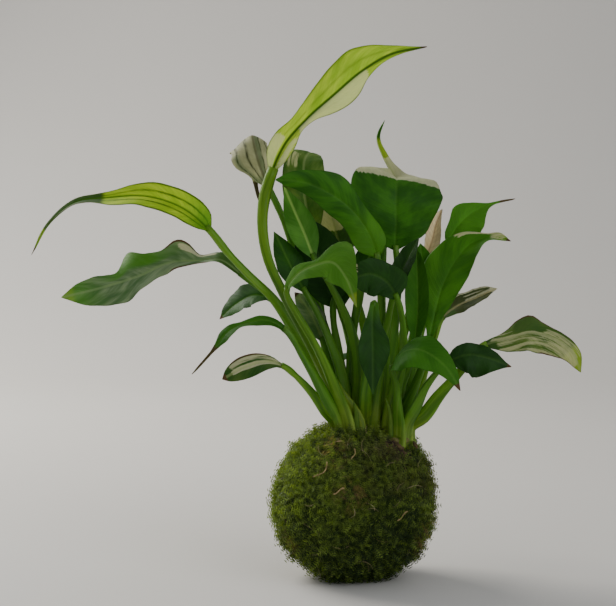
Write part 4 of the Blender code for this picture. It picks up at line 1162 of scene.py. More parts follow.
def blade_surface(spec, route, neck, settings, seed):
    """The upper and lower points of a blade, and what its finish reads there."""
    rng = numpy.random.default_rng(seed)
    length = route.length - neck
    veins = max(8, round(length * MM / settings.vein_gap))
    rows = 2 * veins + 1
    signed = numpy.array([-u for u in BLADE_COLUMNS[:0:-1]] + list(BLADE_COLUMNS))
    edge = numpy.abs(signed)[None, :]
    t = numpy.linspace(0.0, 1.0, rows)[:, None] + 0.0 * edge
    share = t + 4.0 * settings.vein_sweep * t * (1.0 - t) * edge ** 1.2
    places, directions, sides = route.frame(neck + share * length)
    sides, normals = turned(directions, sides, listed(spec.facing, share))
    left = (signed > 0.0)[None, :]
    half = numpy.where(left, listed(spec.left, share), listed(spec.right, share))
    fold = numpy.where(left, listed(spec.fold_left, share), listed(spec.fold_right, share))
    fold = numpy.radians(fold)
    curl = numpy.radians(spec.curl) * numpy.clip(share / 0.15, 0.0, 1.0) + 1e-4
    reach = half / curl * (numpy.sin(fold) - numpy.sin(fold - curl * edge))
    lift = half / curl * (numpy.cos(fold - curl * edge) - numpy.cos(fold))

    phases = rng.uniform(0.0, math.tau, 6)
    waving = numpy.zeros_like(share)
    for index, (count, size) in enumerate(MARGIN_WAVES):
        phase = numpy.where(left, phases[2 * index], phases[2 * index + 1])
        waving += size * numpy.sin(math.tau * count * share + phase)
    lift += spec.waves * waving * WAVE_HEIGHT * half * edge ** 2
    rows_sign = numpy.where(numpy.arange(rows) % 2 == 0, -1.0, 1.0)[:, None]
    ramp = numpy.clip(edge * 5.0, 0.0, 1.0) * (1.0 - edge ** 4) * numpy.clip(half / 6.0, 0.0, 1.0)
    turning = numpy.linalg.norm(numpy.gradient(directions, axis=0), axis=2)
    turning *= (rows - 1) / length
    ramp *= numpy.clip(SHARP_FOLD / numpy.maximum(turning, 1e-6) - 1.0, 0.0, 1.0)
    lift += settings.vein_depth / MM * rows_sign * ramp
    across = reach * numpy.sign(signed)[None, :]
    groove = GROOVE_DEPTH * numpy.exp(-((edge * half / GROOVE_WIDTH) ** 2))
    groove = groove * numpy.clip(1.0 - share, 0.0, 1.0)
    top = places + sides * across[..., None] + normals * (lift - groove)[..., None]

    tangent_along = numpy.gradient(top, axis=0)
    tangent_across = numpy.gradient(top, axis=1)
    outward = numpy.cross(tangent_along, tangent_across)
    size = numpy.linalg.norm(outward, axis=2, keepdims=True)
    outward = numpy.where(size > 1e-9, outward / numpy.maximum(size, 1e-9), normals)
    outward *= numpy.sign(numpy.sum(outward * normals, axis=2, keepdims=True) + 1e-12)
    rib = RIB_THICKNESS * numpy.exp(-((edge * half / RIB_WIDTH) ** 2)) * (1.0 - share) ** 0.8
    thick = settings.blade_thickness / MM * numpy.sqrt(1.0 - edge ** 6) + rib
    thick = thick * numpy.clip((1.0 - share) / 0.04, 0.05, 1.0)
    low = top - outward * thick[..., None]

    zones = numpy.zeros((*share.shape, 4))
    zones[..., 2] = rng.uniform(0.35, 0.65)
    lime = numpy.zeros(share.shape)
    where = signed[None, :] + 0.0 * share
    for zone in spec.zones:
        soft = FRESH_BORDER if zone.kind == "fresh" else ZONE_BORDER
        inside = (numpy.clip((share - zone.start) / soft + 0.5, 0, 1)
                  * numpy.clip((zone.end - share) / soft + 0.5, 0, 1)
                  * numpy.clip((where - zone.low) / soft + 0.5, 0, 1)
                  * numpy.clip((zone.high - where) / soft + 0.5, 0, 1))
        if zone.kind == "cream":
            zones[..., 0] = numpy.maximum(zones[..., 0], inside * zone.strength)
        elif zone.kind == "brown":
            zones[..., 1] = numpy.maximum(zones[..., 1], inside * zone.strength)
        elif zone.kind == "fresh":
            zones[..., 3] = numpy.maximum(zones[..., 3], inside * zone.strength)
        else:
            sign = 1.0 if zone.kind == "lime" else -1.0
            lime = lime * (1.0 - inside) + sign * inside * zone.strength
    place = numpy.stack((signed[None, :] * half, t * length, 0.0 * t + PLACE_SHIFT * seed), axis=2)
    vein = 0.5 * numpy.arange(rows)[:, None] + 0.0 * edge
    uv = numpy.stack((0.5 + 0.5 * where, t), axis=2)
    return top, low, {"zones": zones, "lime": lime, "place_mm": place, "vein": vein, "leaf_uv": uv}


class LeafMesh:
    """Points, faces and attributes of one leaf as they are gathered."""

    # What each attribute holds: its kind, the field it is set by, and numbers per point.
    KINDS = {"zones": ("FLOAT_COLOR", "color", 4), "lime": ("FLOAT", "value", 1),
             "place_mm": ("FLOAT_VECTOR", "vector", 3), "vein": ("FLOAT", "value", 1)}
    UV_WIDTH = 2

    def __init__(self):
        self.points, self.faces, self.materials, self.under, self.uv = [], [], [], [], []
        self.extra = {name: [] for name in self.KINDS}

    def add(self, points, faces, extra, material, under=0.0):
        first = len(self.points)
        points = points.reshape(-1, 3)
        self.points.extend(points)
        self.faces.extend(tuple(first + index for index in face) for face in faces)
        self.materials.extend([material] * len(faces))
        self.under.extend([under] * len(faces))
        self.uv.extend(extra["leaf_uv"].reshape(len(points), self.UV_WIDTH))
        for name, (*_, width) in self.KINDS.items():
            values = extra.get(name, numpy.zeros((len(points), width)))
            self.extra[name].extend(values.reshape(len(points), width))

    def finish(self, name):
        mesh = mesh_of(name, [Vector(point) * MM for point in self.points], self.faces)
        mesh.polygons.foreach_set("material_index", self.materials)
        for key, (kind, field, _) in self.KINDS.items():
            store(mesh, key, self.extra[key], kind, field)
        store(mesh, "under", self.under, domain="FACE")
        corner_points = numpy.zeros(len(mesh.loops), dtype=numpy.int32)
        mesh.loops.foreach_get("vertex_index", corner_points)
        table = numpy.array(self.uv, dtype=numpy.float32)
        mesh.uv_layers.new(name="leaf_uv").data.foreach_set("uv", table[corner_points].ravel())
        shape = bmesh.new()
        shape.from_mesh(mesh)
        bmesh.ops.remove_doubles(shape, verts=shape.verts, dist=DOUBLES_DISTANCE)
        bmesh.ops.holes_fill(shape, edges=[edge for edge in shape.edges if edge.is_boundary])
        shape.to_mesh(mesh)
        shape.free()
        mesh.shade_smooth()
        return mesh


def stalk_rings(route, neck, thickness, settings, seed):
    """A stalk from its sheathing foot to just under the blade, channelled on its upper side."""
    rng = numpy.random.default_rng(seed + STALK_SEED_SHIFT)
    stations = numpy.linspace(0.0, neck + 3.0, STALK_RINGS)
    places, directions, sides = route.frame(stations)
    share = stations / neck
    around = numpy.linspace(0.0, math.tau, STALK_SIDES, endpoint=False)
    foot, slim = settings.stalk_foot / MM, settings.stalk_neck / MM * thickness
    radius = numpy.interp(share, (0.0, 0.1, 0.42, 0.62, 0.86, 0.93, 1.0),
                          (foot * 0.96, foot, 0.84 * foot, 0.60 * foot, slim, 1.15 * slim, slim))
    flatness = numpy.interp(share, (0.0, 0.1, 0.5, 1.0), (0.8, 0.50, 0.52, 0.95))
    turn = rng.uniform(-40.0, 40.0) * numpy.ones_like(share)
    sides, normals = turned(directions, sides, turn)
    channel = numpy.exp(-(((around - math.pi / 2.0) / 0.55) ** 2))[None, :]
    depth = numpy.interp(share, (0.0, 0.2, 0.6, 1.0), (0.40, 0.34, 0.20, 0.12))[:, None]
    ring = radius[:, None] * (1.0 - depth * channel)
    wobble = 1.0 + 0.04 * numpy.sin(3.0 * around[None, :] + 9.0 * share[:, None] + seed)
    wide = ring * wobble * numpy.cos(around)[None, :]
    high = ring * wobble * flatness[:, None] * numpy.sin(around)[None, :]
    points = (places[:, None, :] + wide[..., None] * sides[:, None, :]
              + high[..., None] * normals[:, None, :])
    flat = 0.0 * ring
    place = numpy.stack((radius[:, None] * around[None, :], stations[:, None] + flat,
                         flat + PLACE_SHIFT * seed), axis=2)
    uv = numpy.stack((around[None, :] / math.tau + flat, numpy.minimum(share, 1.0)[:, None] + flat),
                     axis=2)
    return points, tube_faces(STALK_RINGS, STALK_SIDES), {"place_mm": place, "leaf_uv": uv}


def stalk_foot_points(crown, slot):
    x, y = CROWNS[crown]
    if slot > 0:
        angle = math.tau * (slot - 1) / SLOT_COUNT
        x += SLOT_RING * math.cos(angle)
        y += SLOT_RING * math.sin(angle)
    return ((x, y, CROWN_TOP_Z - FOOT_DEPTH), (x, y, CROWN_TOP_Z + STALK_RISE))


def build_leaf(spec, seed, settings, materials):
    stalk_points = (*stalk_foot_points(spec.crown, spec.slot), *spec.stalk)
    route = Route((*stalk_points, *spec.blade))
    neck = route.knots_at[len(stalk_points)]
    gathered = LeafMesh()
    thickness = THICK_STALKS.get(spec.name, 1.0)
    gathered.add(*stalk_rings(route, neck, thickness, settings, seed), STALK_SLOT)
    top, low, extra = blade_surface(spec, route, neck, settings, seed)
    gathered.add(top, grid_faces(*top.shape[:2]), extra, BLADE_SLOT)
    gathered.add(low, grid_faces(*top.shape[:2], flip=True), extra, BLADE_SLOT, under=1.0)
    name = "visual_" + spec.name
    leaf = new_object(name, gathered.finish(name))
    leaf.data.materials.append(materials["stalk_" + STALK_OF.get(spec.finish, "dark")])
    leaf.data.materials.append(materials["blade_" + spec.finish])
    return leaf


# Ball shapes ---------------------------------------------------------------

def ball_point(direction, inset=0.0):
    """Point on the ball's surface along a direction, moved inwards by inset, in millimetres."""
    heading = Vector(direction).normalized()
    swell = 1.0
    for share, counts, phase in LUMPS:
        swell += share * math.sin(Vector(counts).dot(heading) + phase)
    away = (heading - Vector(SHOULDER_AIM).normalized()).length
    shoulder = SHOULDER_HEIGHT * math.exp(-((away / SHOULDER_SPREAD) ** 2))
    reach = [radius * swell - inset + shoulder for radius in BALL_RADII]
    point = Vector([axis * size for axis, size in zip(heading, reach)])
    return point + Vector(BALL_CENTRE)


def bareness(direction):
    """1 where the soil shows beside the right crown, 0 elsewhere."""
    away = (Vector(direction).normalized() - Vector(BARE_AIM).normalized()).length
    ragged = away + 0.05 * noise.noise(Vector(direction).normalized() * 11.0)
    return 1.0 - min(1.0, max(0.0, (ragged - BARE_SPREAD) / BARE_BORDER))


def sphere_net(segments, rings):
    """Headings and faces of a ball, in an order that never changes, so that shoots land the same."""
    headings = [Vector((0.0, 0.0, 1.0))]
    for ring in range(1, rings):
        polar = math.pi * ring / rings
        for segment in range(segments):
            around = math.tau * segment / segments
            headings.append(Vector((math.sin(polar) * math.cos(around),
                                    math.sin(polar) * math.sin(around), math.cos(polar))))
    headings.append(Vector((0.0, 0.0, -1.0)))
    last = len(headings) - 1
    faces = []
    for segment in range(segments):
        after = (segment + 1) % segments
        faces.append((0, 1 + segment, 1 + after))
        for upper in range(1, last - segments, segments):
            lower = upper + segments
            faces.append((upper + segment, lower + segment, lower + after, upper + after))
        faces.append((last - segments + segment, last, last - segments + after))
    return headings, faces


def mat_mesh(settings):
    """The mat under the moss shoots, lumpy, with attributes that say where moss and soil are."""
    headings, faces = sphere_net(BALL_SEGMENTS, BALL_RINGS)
    points, moss, bare = [], [], []
    for heading in headings:
        soil = bareness(heading)
        inset = settings.mat_depth / MM + SOIL_INSET * soil
        clump = noise.noise(heading * 10.5 + Vector((3, 1, 2)))
        tuft = noise.noise(heading * 23.0)
        inset -= 2.2 * noise.noise(heading * 4.2) + 2.4 * clump + 1.4 * tuft
        point = ball_point(heading, inset)
        if point.z > HOLLOW_LEVEL:
            away = math.hypot(*((point[axis] - HOLLOW_CENTRE[axis]) / HOLLOW_RADII[axis]
                                for axis in range(2)))
            point.z -= HOLLOW_DEPTH * max(0.0, 1.0 - away ** 2)
        point.z = max(point.z, FLOOR_CLEARANCE)
        points.append(point * MM)
        cover = min(1.0, max(0.25, 0.78 + 0.9 * clump + 0.5 * tuft))
        moss.append(cover * (1.0 - 0.96 * soil))
        bare.append(soil)
    mesh = mesh_of("moss_mat", points, faces)
    store(mesh, "moss_cover", moss)
    store(mesh, "bare_soil", bare)
    mesh.shade_smooth()
    return mesh


def ribbon(shares, width, taper, middle):
    """Points, faces and shares of the length of a flat strip that narrows to its tip."""
    points, faces, along = [], [], []
    for step, share in enumerate(shares):
        half = Vector((width * (1.0 - taper * share), 0, 0))
        points += [middle(share) - half, middle(share) + half]
        along += [share, share]
        if step:
            faces.append((2 * step - 2, 2 * step - 1, 2 * step + 1, 2 * step))
    return points, faces, along


def shoot_mesh(name, bend, fullness, pairs=5):
    """A feathery moss shoot one unit long: a bent stem with leaflets on both sides."""
    def stem(share):
        return Vector((0.06 * math.sin(3.0 * share * bend), bend * 0.35 * share * share, share))
    points, faces, along = ribbon((0.0, 0.5, 1.0), 0.020, 0.8, stem)
    for pair in range(pairs):
        share = 0.12 + 0.80 * pair / (pairs - 1)
        length = fullness * (0.36 - 0.16 * share)
        for sign in (-1.0, 1.0):
            root = stem(share)
            ahead = stem(min(1.0, share + 0.08))
            tip = root + Vector((sign * length * 0.85, -0.10 * length + 0.12 * sign * bend * length,
                                 length * 0.62))
            first = len(points)
            points += [root, tip, ahead]
            along += [share, min(1.0, share + 0.35), share]
            face = (first, first + 1, first + 2)
            faces.append(face if sign > 0 else face[::-1])
    mesh = mesh_of(name, points, faces)
    store(mesh, "along", along)
    return mesh


def straw_mesh(name, bend):
    """A thin dry strand one unit long."""
    def middle(share):
        return Vector((bend * math.sin(2.2 * share), 0.5 * bend * share * share, share))
    points, faces, along = ribbon((0.0, 0.25, 0.5, 0.75, 1.0), 0.016, 0.7, middle)
    mesh = mesh_of(name, points, faces)
    store(mesh, "along", along)
    return mesh


def crumb_mesh(name, seed):
    """A lump of soil about one unit across."""
    shape = bmesh.new()
    bmesh.ops.create_icosphere(shape, subdivisions=1, radius=0.5)
    for vertex in shape.verts:
        vertex.co *= 1.0 + 0.55 * noise.noise(vertex.co * 3.0 + Vector((seed, 0, 0)))
    mesh = mesh_from_shape(name, shape)
    store(mesh, "along", [0.5] * len(mesh.vertices))
    return mesh


def scatter_tree():
    """Scatters three shapes over a surface, each leaning a random way, and joins them into a mesh."""
    tree = bpy.data.node_groups.new("scatter_on_ball", "GeometryNodeTree")
    sockets = {}
    inputs = (
        ("Geometry", "NodeSocketGeometry", None), ("Shape A", "NodeSocketObject", None),
        ("Shape B", "NodeSocketObject", None), ("Shape C", "NodeSocketObject", None),
        ("Where", "NodeSocketString", "moss_cover"), ("Density", VALUE, 1000.0),
        ("Low Edge", VALUE, 0.0), ("High Edge", VALUE, 1.0),
        ("Least Tilt", VALUE, 0.4), ("Most Tilt", VALUE, 1.2),
        ("Size", VALUE, 0.005), ("Floor", VALUE, 0.0004),
        ("Seed", "NodeSocketInt", 1), ("Material", "NodeSocketMaterial", None))
    for label, kind, default in inputs:
        socket = tree.interface.new_socket(name=label, in_out="INPUT", socket_type=kind)
        if default is not None:
            socket.default_value = default
        sockets[label] = socket.identifier
    tree.interface.new_socket(name="Geometry", in_out="OUTPUT", socket_type="NodeSocketGeometry")
    entry = tree.nodes.new("NodeGroupInput").outputs
    leaving = tree.nodes.new("NodeGroupOutput").inputs

    height = split(tree, node(tree, "GeometryNodeInputPosition").outputs[0])[2]
    within = product(tree, maths(tree, "GREATER_THAN", height, entry["Low Edge"]),
                     maths(tree, "LESS_THAN", height, entry["High Edge"]))
    where = node(tree, "GeometryNodeInputNamedAttribute", {"Name": entry["Where"]},
                 data_type="FLOAT").outputs[0]
    density = product(tree, within, product(tree, where, entry["Density"]))
    spots = node(tree, "GeometryNodeDistributePointsOnFaces",
                 {"Mesh": entry["Geometry"], "Density": density, "Seed": entry["Seed"]},
                 distribute_method="RANDOM")
    shapes = tree.nodes.new("GeometryNodeJoinGeometry")
    for label in ("Shape C", "Shape B", "Shape A"):
        shape = node(tree, "GeometryNodeObjectInfo", {"Object": entry[label]})
        one = node(tree, "GeometryNodeGeometryToInstance", {0: shape.outputs["Geometry"]})
        tree.links.new(one.outputs[0], shapes.inputs[0])

    def random_value(low, high, offset):
        seed = maths(tree, "ADD", entry["Seed"], offset)
        made = node(tree, "FunctionNodeRandomValue", {2: low, 3: high, "Seed": seed},
                    data_type="FLOAT")
        return made.outputs[1]

    spin = random_value(0.0, math.tau, 1)
    tilt = random_value(entry["Least Tilt"], entry["Most Tilt"], 2)
    size = product(tree, random_value(*SIZE_RANGE, 3), entry["Size"])
    which = node(tree, "FunctionNodeRandomValue", {4: 0, 5: 2, "Seed": entry["Seed"]},
                 data_type="INT").outputs[2]
    upright = node(tree, "FunctionNodeAlignRotationToVector",
                   {"Vector": spots.outputs["Normal"]}, axis="Z")
    lean = node(tree, "ShaderNodeCombineXYZ", {0: tilt, 2: spin})
    lean = node(tree, "FunctionNodeEulerToRotation", {0: lean.outputs[0]})
    rotation = node(tree, "FunctionNodeRotateRotation",
                    {0: upright.outputs[0], 1: lean.outputs[0]}, rotation_space="LOCAL")
    placed = node(tree, "GeometryNodeInstanceOnPoints",
                  {"Points": spots.outputs["Points"], "Instance": shapes.outputs[0],
                   "Pick Instance": True, "Instance Index": which,
                   "Rotation": rotation.outputs[0], "Scale": size})
    toned = node(tree, "GeometryNodeStoreNamedAttribute",
                 {"Geometry": placed.outputs[0], "Name": "tone"},
                 data_type="FLOAT", domain="INSTANCE")
    tree.links.new(random_value(0.0, 1.0, 4), toned.inputs["Value"])
    realized = node(tree, "GeometryNodeRealizeInstances", {0: toned.outputs[0]})
    x, y, z = split(tree, node(tree, "GeometryNodeInputPosition").outputs[0])
    kept = node(tree, "ShaderNodeCombineXYZ", {0: x, 1: y, 2: maths(tree, "MAXIMUM", z, entry["Floor"])})
    settled = node(tree, "GeometryNodeSetPosition",
                   {"Geometry": realized.outputs[0], "Position": kept.outputs[0]})
    finished = node(tree, "GeometryNodeSetMaterial",
                    {"Geometry": settled.outputs[0], "Material": entry["Material"]})
    tree.links.new(finished.outputs[0], leaving["Geometry"])
    return tree, sockets


def scatter(name, ground, shapes, tree, sockets, **values):
    """Run the scatter tree over a ground mesh and keep the result as a plain mesh object."""
    holders = [new_object(shape.name, shape) for shape in shapes]
    carrier = new_object(name + "_ground", ground)
    modifier = carrier.modifiers.new("scatter", "NODES")
    modifier.node_group = tree
    for label, holder in zip(("Shape A", "Shape B", "Shape C"), holders):
        modifier[sockets[label]] = holder
    modifier[sockets["Floor"]] = SCATTER_FLOOR * MM
    for label, value in values.items():
        modifier[sockets[label.replace("_", " ")]] = value
    graph = bpy.context.evaluated_depsgraph_get()
    graph.update()
    mesh = bpy.data.meshes.new_from_object(carrier.evaluated_get(graph),
                                           preserve_all_data_layers=True, depsgraph=graph)
    carrier.modifiers.remove(modifier)
    for spare in (carrier, *holders):
        bpy.data.objects.remove(spare, do_unlink=True)
    mesh.name = name
    if not len(mesh.polygons):
        raise RuntimeError(name + " came out empty")
    return new_object(name, mesh)


# Ball materials ------------------------------------------------------------

def moss_patch_group():
    """Shares of olive, rusty, finely mottled and tufted moss over the ball, of painted light on its left side, and of
    moss darker towards its bottom.
    """
    group, entry, leaving = surface_group(
        "moss_patches", (("Patch Scale", VALUE, 45.0),),
        tuple((label, VALUE) for label in ("Olive", "Rust", "Sunny", "Damp", "Fine", "Tufts")))
    place = node(group, "ShaderNodeTexCoord").outputs["Object"]
    broad = speckle(group, place, entry["Patch Scale"], 4.0, 0.6)
    fine = speckle(group, place, 420.0, 3.0, 0.6)
    worn = speckle(group, place, 170.0, 4.0, 0.7, 0.8)
    tufts = speckle(group, place, 150.0, 2.0, 0.5, 0.6)

    def near_any(spots):
        """1 near any of the spots, given by place and radius, with ragged borders."""
        share = 0.0
        for *middle, radius in spots:
            gap = node(group, "ShaderNodeVectorMath",
                       {0: place, 1: tuple(value * MM for value in middle)}, operation="DISTANCE")
            ragged = swayed(group, gap.outputs["Value"], broad, radius * MM * 1.6)
            close = soft_step(group, ragged, radius * MM * 1.25, radius * MM * 0.45)
            share = maths(group, "MAXIMUM", share, close)
        return share

    x, _, z = split(group, place)
    put_out(group, leaving,
            Olive=product(group, near_any(OLIVE_SPOTS), soft_step(group, broad, 0.35, 0.62)),
            Rust=product(group, near_any(RUSTY_SPOTS), soft_step(group, worn, 0.46, 0.62)),
            # Painted light: the moss on the left side of the ball is made brighter green, as if lit.
            Sunny=soft_step(group, swayed(group, x, broad, 0.06), 0.005, -0.050),
            # The moss is darker towards the bottom of the ball.
            Damp=soft_step(group, swayed(group, z, broad, -0.16), 0.075, 0.015),
            Fine=fine, Tufts=soft_step(group, tufts, 0.34, 0.62))
    return group


def moss_material(settings, patches):
    material, tree, shader = new_material("moss_shoots")
    along, tone = read_value(tree, "along"), read_value(tree, "tone")
    share = use_group(tree, patches, {})
    young_and_lit = maths(tree, "MULTIPLY_ADD", maths(tree, "POWER", tone, 2.5), 1.05,
                  product(tree, along, 0.42))
    young_and_lit = maths(tree, "SUBTRACT", young_and_lit, 0.12)
    # Painted light on the left side raises the bright green share.
    for label, amount in (("Sunny", 0.32), ("Fine", 0.40), ("Tufts", 0.34), ("Damp", -0.38)):
        young_and_lit = maths(tree, "MULTIPLY_ADD", share[label], amount, young_and_lit)
    colour = mix(tree, soft_step(tree, young_and_lit, 0.30, 1.30), tuple(settings.deep_green),
                 tuple(settings.bright_green))
    olive = mix(tree, along, (0.040, 0.036, 0.010), tuple(settings.olive))
    rust = mix(tree, along, (0.090, 0.055, 0.020), (0.30, 0.19, 0.08))
    for label, patch in (("Olive", olive), ("Rust", rust)):
        colour = mix(tree, product(tree, share[label], 0.75), colour, patch)
    feed(tree, shader, {"Base Color": colour, "Roughness": 0.55, "Specular IOR Level": 0.25})
    let_light_through(tree, shader, 0.35,
                      Color=mix(tree, 1.0, colour, (1.6, 1.5, 0.8), "MULTIPLY"))
    return material


def mat_material(patches, grain):
    """The matted older moss and soil under the shoots."""
    material, tree, shader = new_material("moss_mat")
    share = use_group(tree, patches, {})
    made = use_group(tree, grain, {"Coarse Scale": 260.0, "Fine Scale": 1100.0})
    colour = mix(tree, made["Mask"], (0.008, 0.014, 0.004), (0.030, 0.045, 0.010))
    colour = mix(tree, product(tree, share["Rust"], 0.8), colour, (0.045, 0.022, 0.010))
    soil = mix(tree, made["Mask"], (0.018, 0.011, 0.006), (0.100, 0.062, 0.032))
    colour = mix(tree, read_value(tree, "bare_soil"), colour, soil)
    feed(tree, shader, {"Base Color": colour, "Roughness": 0.9})
    add_relief(tree, shader, made["Height"], strength=0.9, distance=0.0012)
    return material


def earthy_material(name, dark, pale, grain, coarse, fine, stretch=1.0, rough=0.85, bump=0.0008):
    """Grainy dull material for soil, roots, crown tissue, bark and straw."""
    material, tree, shader = new_material(name)
    made = use_group(tree, grain, {"Coarse Scale": coarse, "Fine Scale": fine, "Stretch": stretch})
    feed(tree, shader, {"Base Color": mix(tree, made["Mask"], dark, pale),
                        "Roughness": rough, "Specular IOR Level": 0.2})
    add_relief(tree, shader, made["Height"], strength=0.7, distance=bump)
    return material


def toned_material(name, dark, pale, rough):
    """Dull material whose colour varies from one small piece to the next."""
    material, tree, shader = new_material(name)
    place = node(tree, "ShaderNodeTexCoord").outputs["Object"]
    share = maths(tree, "MULTIPLY_ADD", speckle(tree, place, 900.0, 3.0), 0.6,
                  product(tree, read_value(tree, "tone"), 0.6))
    colour = mix(tree, soft_step(tree, share, 0.2, 0.95), dark, pale)
    feed(tree, shader, {"Base Color": colour, "Roughness": rough})
    return material


# Small round pieces --------------------------------------------------------

def tube_mesh(name, places, sides, normals, widths, heights, around=10):
    """Closed tube through places, with its own width and height at each."""
    angles = numpy.linspace(0.0, math.tau, around, endpoint=False)
    points = []
    for place, side, normal, width, height in zip(places, sides, normals, widths, heights):
        for angle in angles:
            wide = side * width * math.cos(angle)
            high = normal * height * math.sin(angle)
            points.append(Vector((place + wide + high) * MM))
    mesh = mesh_of(name, points, tube_faces(len(places), around))
    shape = bmesh.new()
    shape.from_mesh(mesh)
    bmesh.ops.recalc_face_normals(shape, faces=shape.faces)
    shape.to_mesh(mesh)
    shape.free()
    mesh.shade_smooth()
    return mesh


def heading_vector(heading, height):
    flat = math.cos(math.radians(height))
    return Vector((flat * math.cos(math.radians(heading)), flat * math.sin(math.radians(heading)),
                   math.sin(math.radians(height))))


def twig_mesh(name, heading, height, lean, length, curl, radius):
    """A dry curled bit that follows the moss and lifts at its ends."""
    middle = heading_vector(heading, height)
    east = Vector((0.0, 0.0, 1.0)).cross(middle).normalized()
    north = middle.cross(east)
    run = east * math.cos(math.radians(lean)) + north * math.sin(math.radians(lean))
    across = middle.cross(run)
    points = []
    for index in range(7):
        share = index / 6.0 * 2.0 - 1.0
        swing = share * 0.5 * length / BALL_RADII[0]
        direction = middle * math.cos(swing) + run * math.sin(swing)
        sway = across * 0.10 * length * math.sin(2.6 * share + heading)
        points.append(tuple(ball_point(direction, -0.9 - curl * share * share) + sway))
    route = Route(points, 60)
    stations = numpy.linspace(0.0, route.length, 18)
    places, directions, sides = route.frame(stations)
    share = stations / route.length
    size = radius * (0.35 + 0.65 * numpy.sin(math.pi * numpy.clip(share, 0.03, 0.97)) ** 0.6)
    size *= 1.0 + 0.15 * numpy.sin(17.0 * share + heading)
    sides, normals = turned(directions, sides, 160.0 * share)
    return tube_mesh(name, places, sides, normals, size, 0.55 * size, 8)


def flake_mesh(name, low, high, seed):
    """A ragged flake of bark lying where its solid lies."""
    middle = (Vector(low) + Vector(high)) / 2.0
    outward = (middle - Vector(BALL_CENTRE) * MM).normalized()
    turn = outward.to_track_quat("Z", "Y").to_matrix() @ Matrix.Rotation(seed, 3, "Z")
    shape = bmesh.new()
    bmesh.ops.create_icosphere(shape, subdivisions=3, radius=1.0)
    for vertex in shape.verts:
        ragged = 1.0 + 0.35 * noise.noise(vertex.co * 2.4 + Vector((seed * 3.1, 0, 0)))
        ragged += 0.12 * noise.noise(vertex.co * 7.0)
        flat = Vector((vertex.co.x * 3.6, vertex.co.y * 2.2, vertex.co.z * 0.8)) * ragged * MM
        flat.z += 0.5 * MM * noise.noise(vertex.co * 1.3)
        vertex.co = middle + turn @ flat
    mesh = mesh_from_shape(name, shape)
    mesh.shade_smooth()
    return mesh


def crown_mesh(name, low, high, seed):
    """A short knobbly crown with ringed leaf scars, the size of its solid."""
    middle = (Vector(low) + Vector(high)) / 2.0
    top_radius = (high[0] - low[0]) / 2.0
    rings, around = 30, 40
    points = []
    for row in range(rings):
        share = row / (rings - 1)
        radius = top_radius * (0.49 + 0.51 * share) * min(1.0, ((1.0 - share) / 0.05 + 0.25))
        radius *= 1.0 + 0.035 * math.sin(share * math.tau * 6.0)
        z = low[2] + (high[2] - low[2]) * share
        for column in range(around):
            angle = math.tau * column / around
            x, y = math.cos(angle), math.sin(angle)
            bump = 1.0 + 0.06 * noise.noise(Vector((x * 1.6, y * 1.6, share * 5 + seed)))
            points.append((middle.x + radius * bump * x, middle.y + radius * bump * y, z))
    mesh = mesh_of(name, points, tube_faces(rings, around))
    mesh.shade_smooth()
    return mesh


# Operators -----------------------------------------------------------------

class KOKEDAMA_OT_stage(bpy.types.Operator):
    """Add the floor, the soft lights and the camera"""
    bl_idname = "kokedama.stage"
    bl_label = "Stage"

    def execute(self, context):
        settings = context.scene.kokedama_stage
        profile = [(-FLOOR_REACH, 0.0), (FLOOR_BACK, 0.0)]
        for step in range(1, 13):
            angle = math.radians(90.0 * step / 12.0)
            profile.append((FLOOR_BACK + FLOOR_BEND * math.sin(angle),
                            FLOOR_BEND - FLOOR_BEND * math.cos(angle)))
        profile.append((FLOOR_BACK + FLOOR_BEND, WALL_TOP))
        points = [(x, y, z) for y, z in profile for x in (-FLOOR_REACH, FLOOR_REACH)]
        faces = [(low, low + 1, low + 3, low + 2) for low in range(0, len(points) - 2, 2)]
        mesh = mesh_of("floor", points, faces)
        mesh.shade_smooth()
        floor = new_object("floor", mesh)
        material, tree, shader = new_material("floor")
        dim, pale = darker_and_paler(settings.floor_colour, 0.94, 1.0)
        patches = speckle(tree, node(tree, "ShaderNodeTexCoord").outputs["Object"], 3.0, 3.0)
        feed(tree, shader, {"Base Color": mix(tree, patches, dim, pale), "Roughness": 0.7})
        mesh.materials.append(material)
        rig.stage(floor)

        world = bpy.data.worlds.new("studio")
        world.use_nodes = True
        feed(world.node_tree, world.node_tree.nodes["Background"],
             {"Color": (0.93, 0.96, 1.0), "Strength": 0.42})
        context.scene.world = world
        self.light("key", power=settings.key_power, size=1.0, place=(-1.0, 0.85, 1.05),
                   colour=(1.0, 0.97, 0.90))
        self.light("fill", power=settings.fill_power, size=1.4, place=(1.0, -1.3, 0.9),
                   colour=(0.94, 0.97, 1.0))

        data = bpy.data.cameras.new("camera")
        data.lens = settings.camera_lens
        data.sensor_width = 36.0
        camera = new_object("camera", data)
        pitch = math.radians(CAMERA_PITCH)
        back = Vector((0.0, -math.cos(pitch), math.sin(pitch)))
        camera.location = Vector(CAMERA_TARGET) + back * settings.camera_distance
        camera.rotation_euler = (math.radians(90.0) - pitch, 0.0, 0.0)
        context.scene.camera = camera
        return {"FINISHED"}

    @staticmethod
    def light(name, power, size, place, colour):
        data = bpy.data.lights.new(name, "AREA")
        data.energy, data.size, data.color = power, size, colour
        lamp = new_object(name, data)
        lamp.location = place
        aim = Vector(LIGHT_TARGET) - Vector(place)
        lamp.rotation_euler = aim.to_track_quat("-Z", "Y").to_euler()


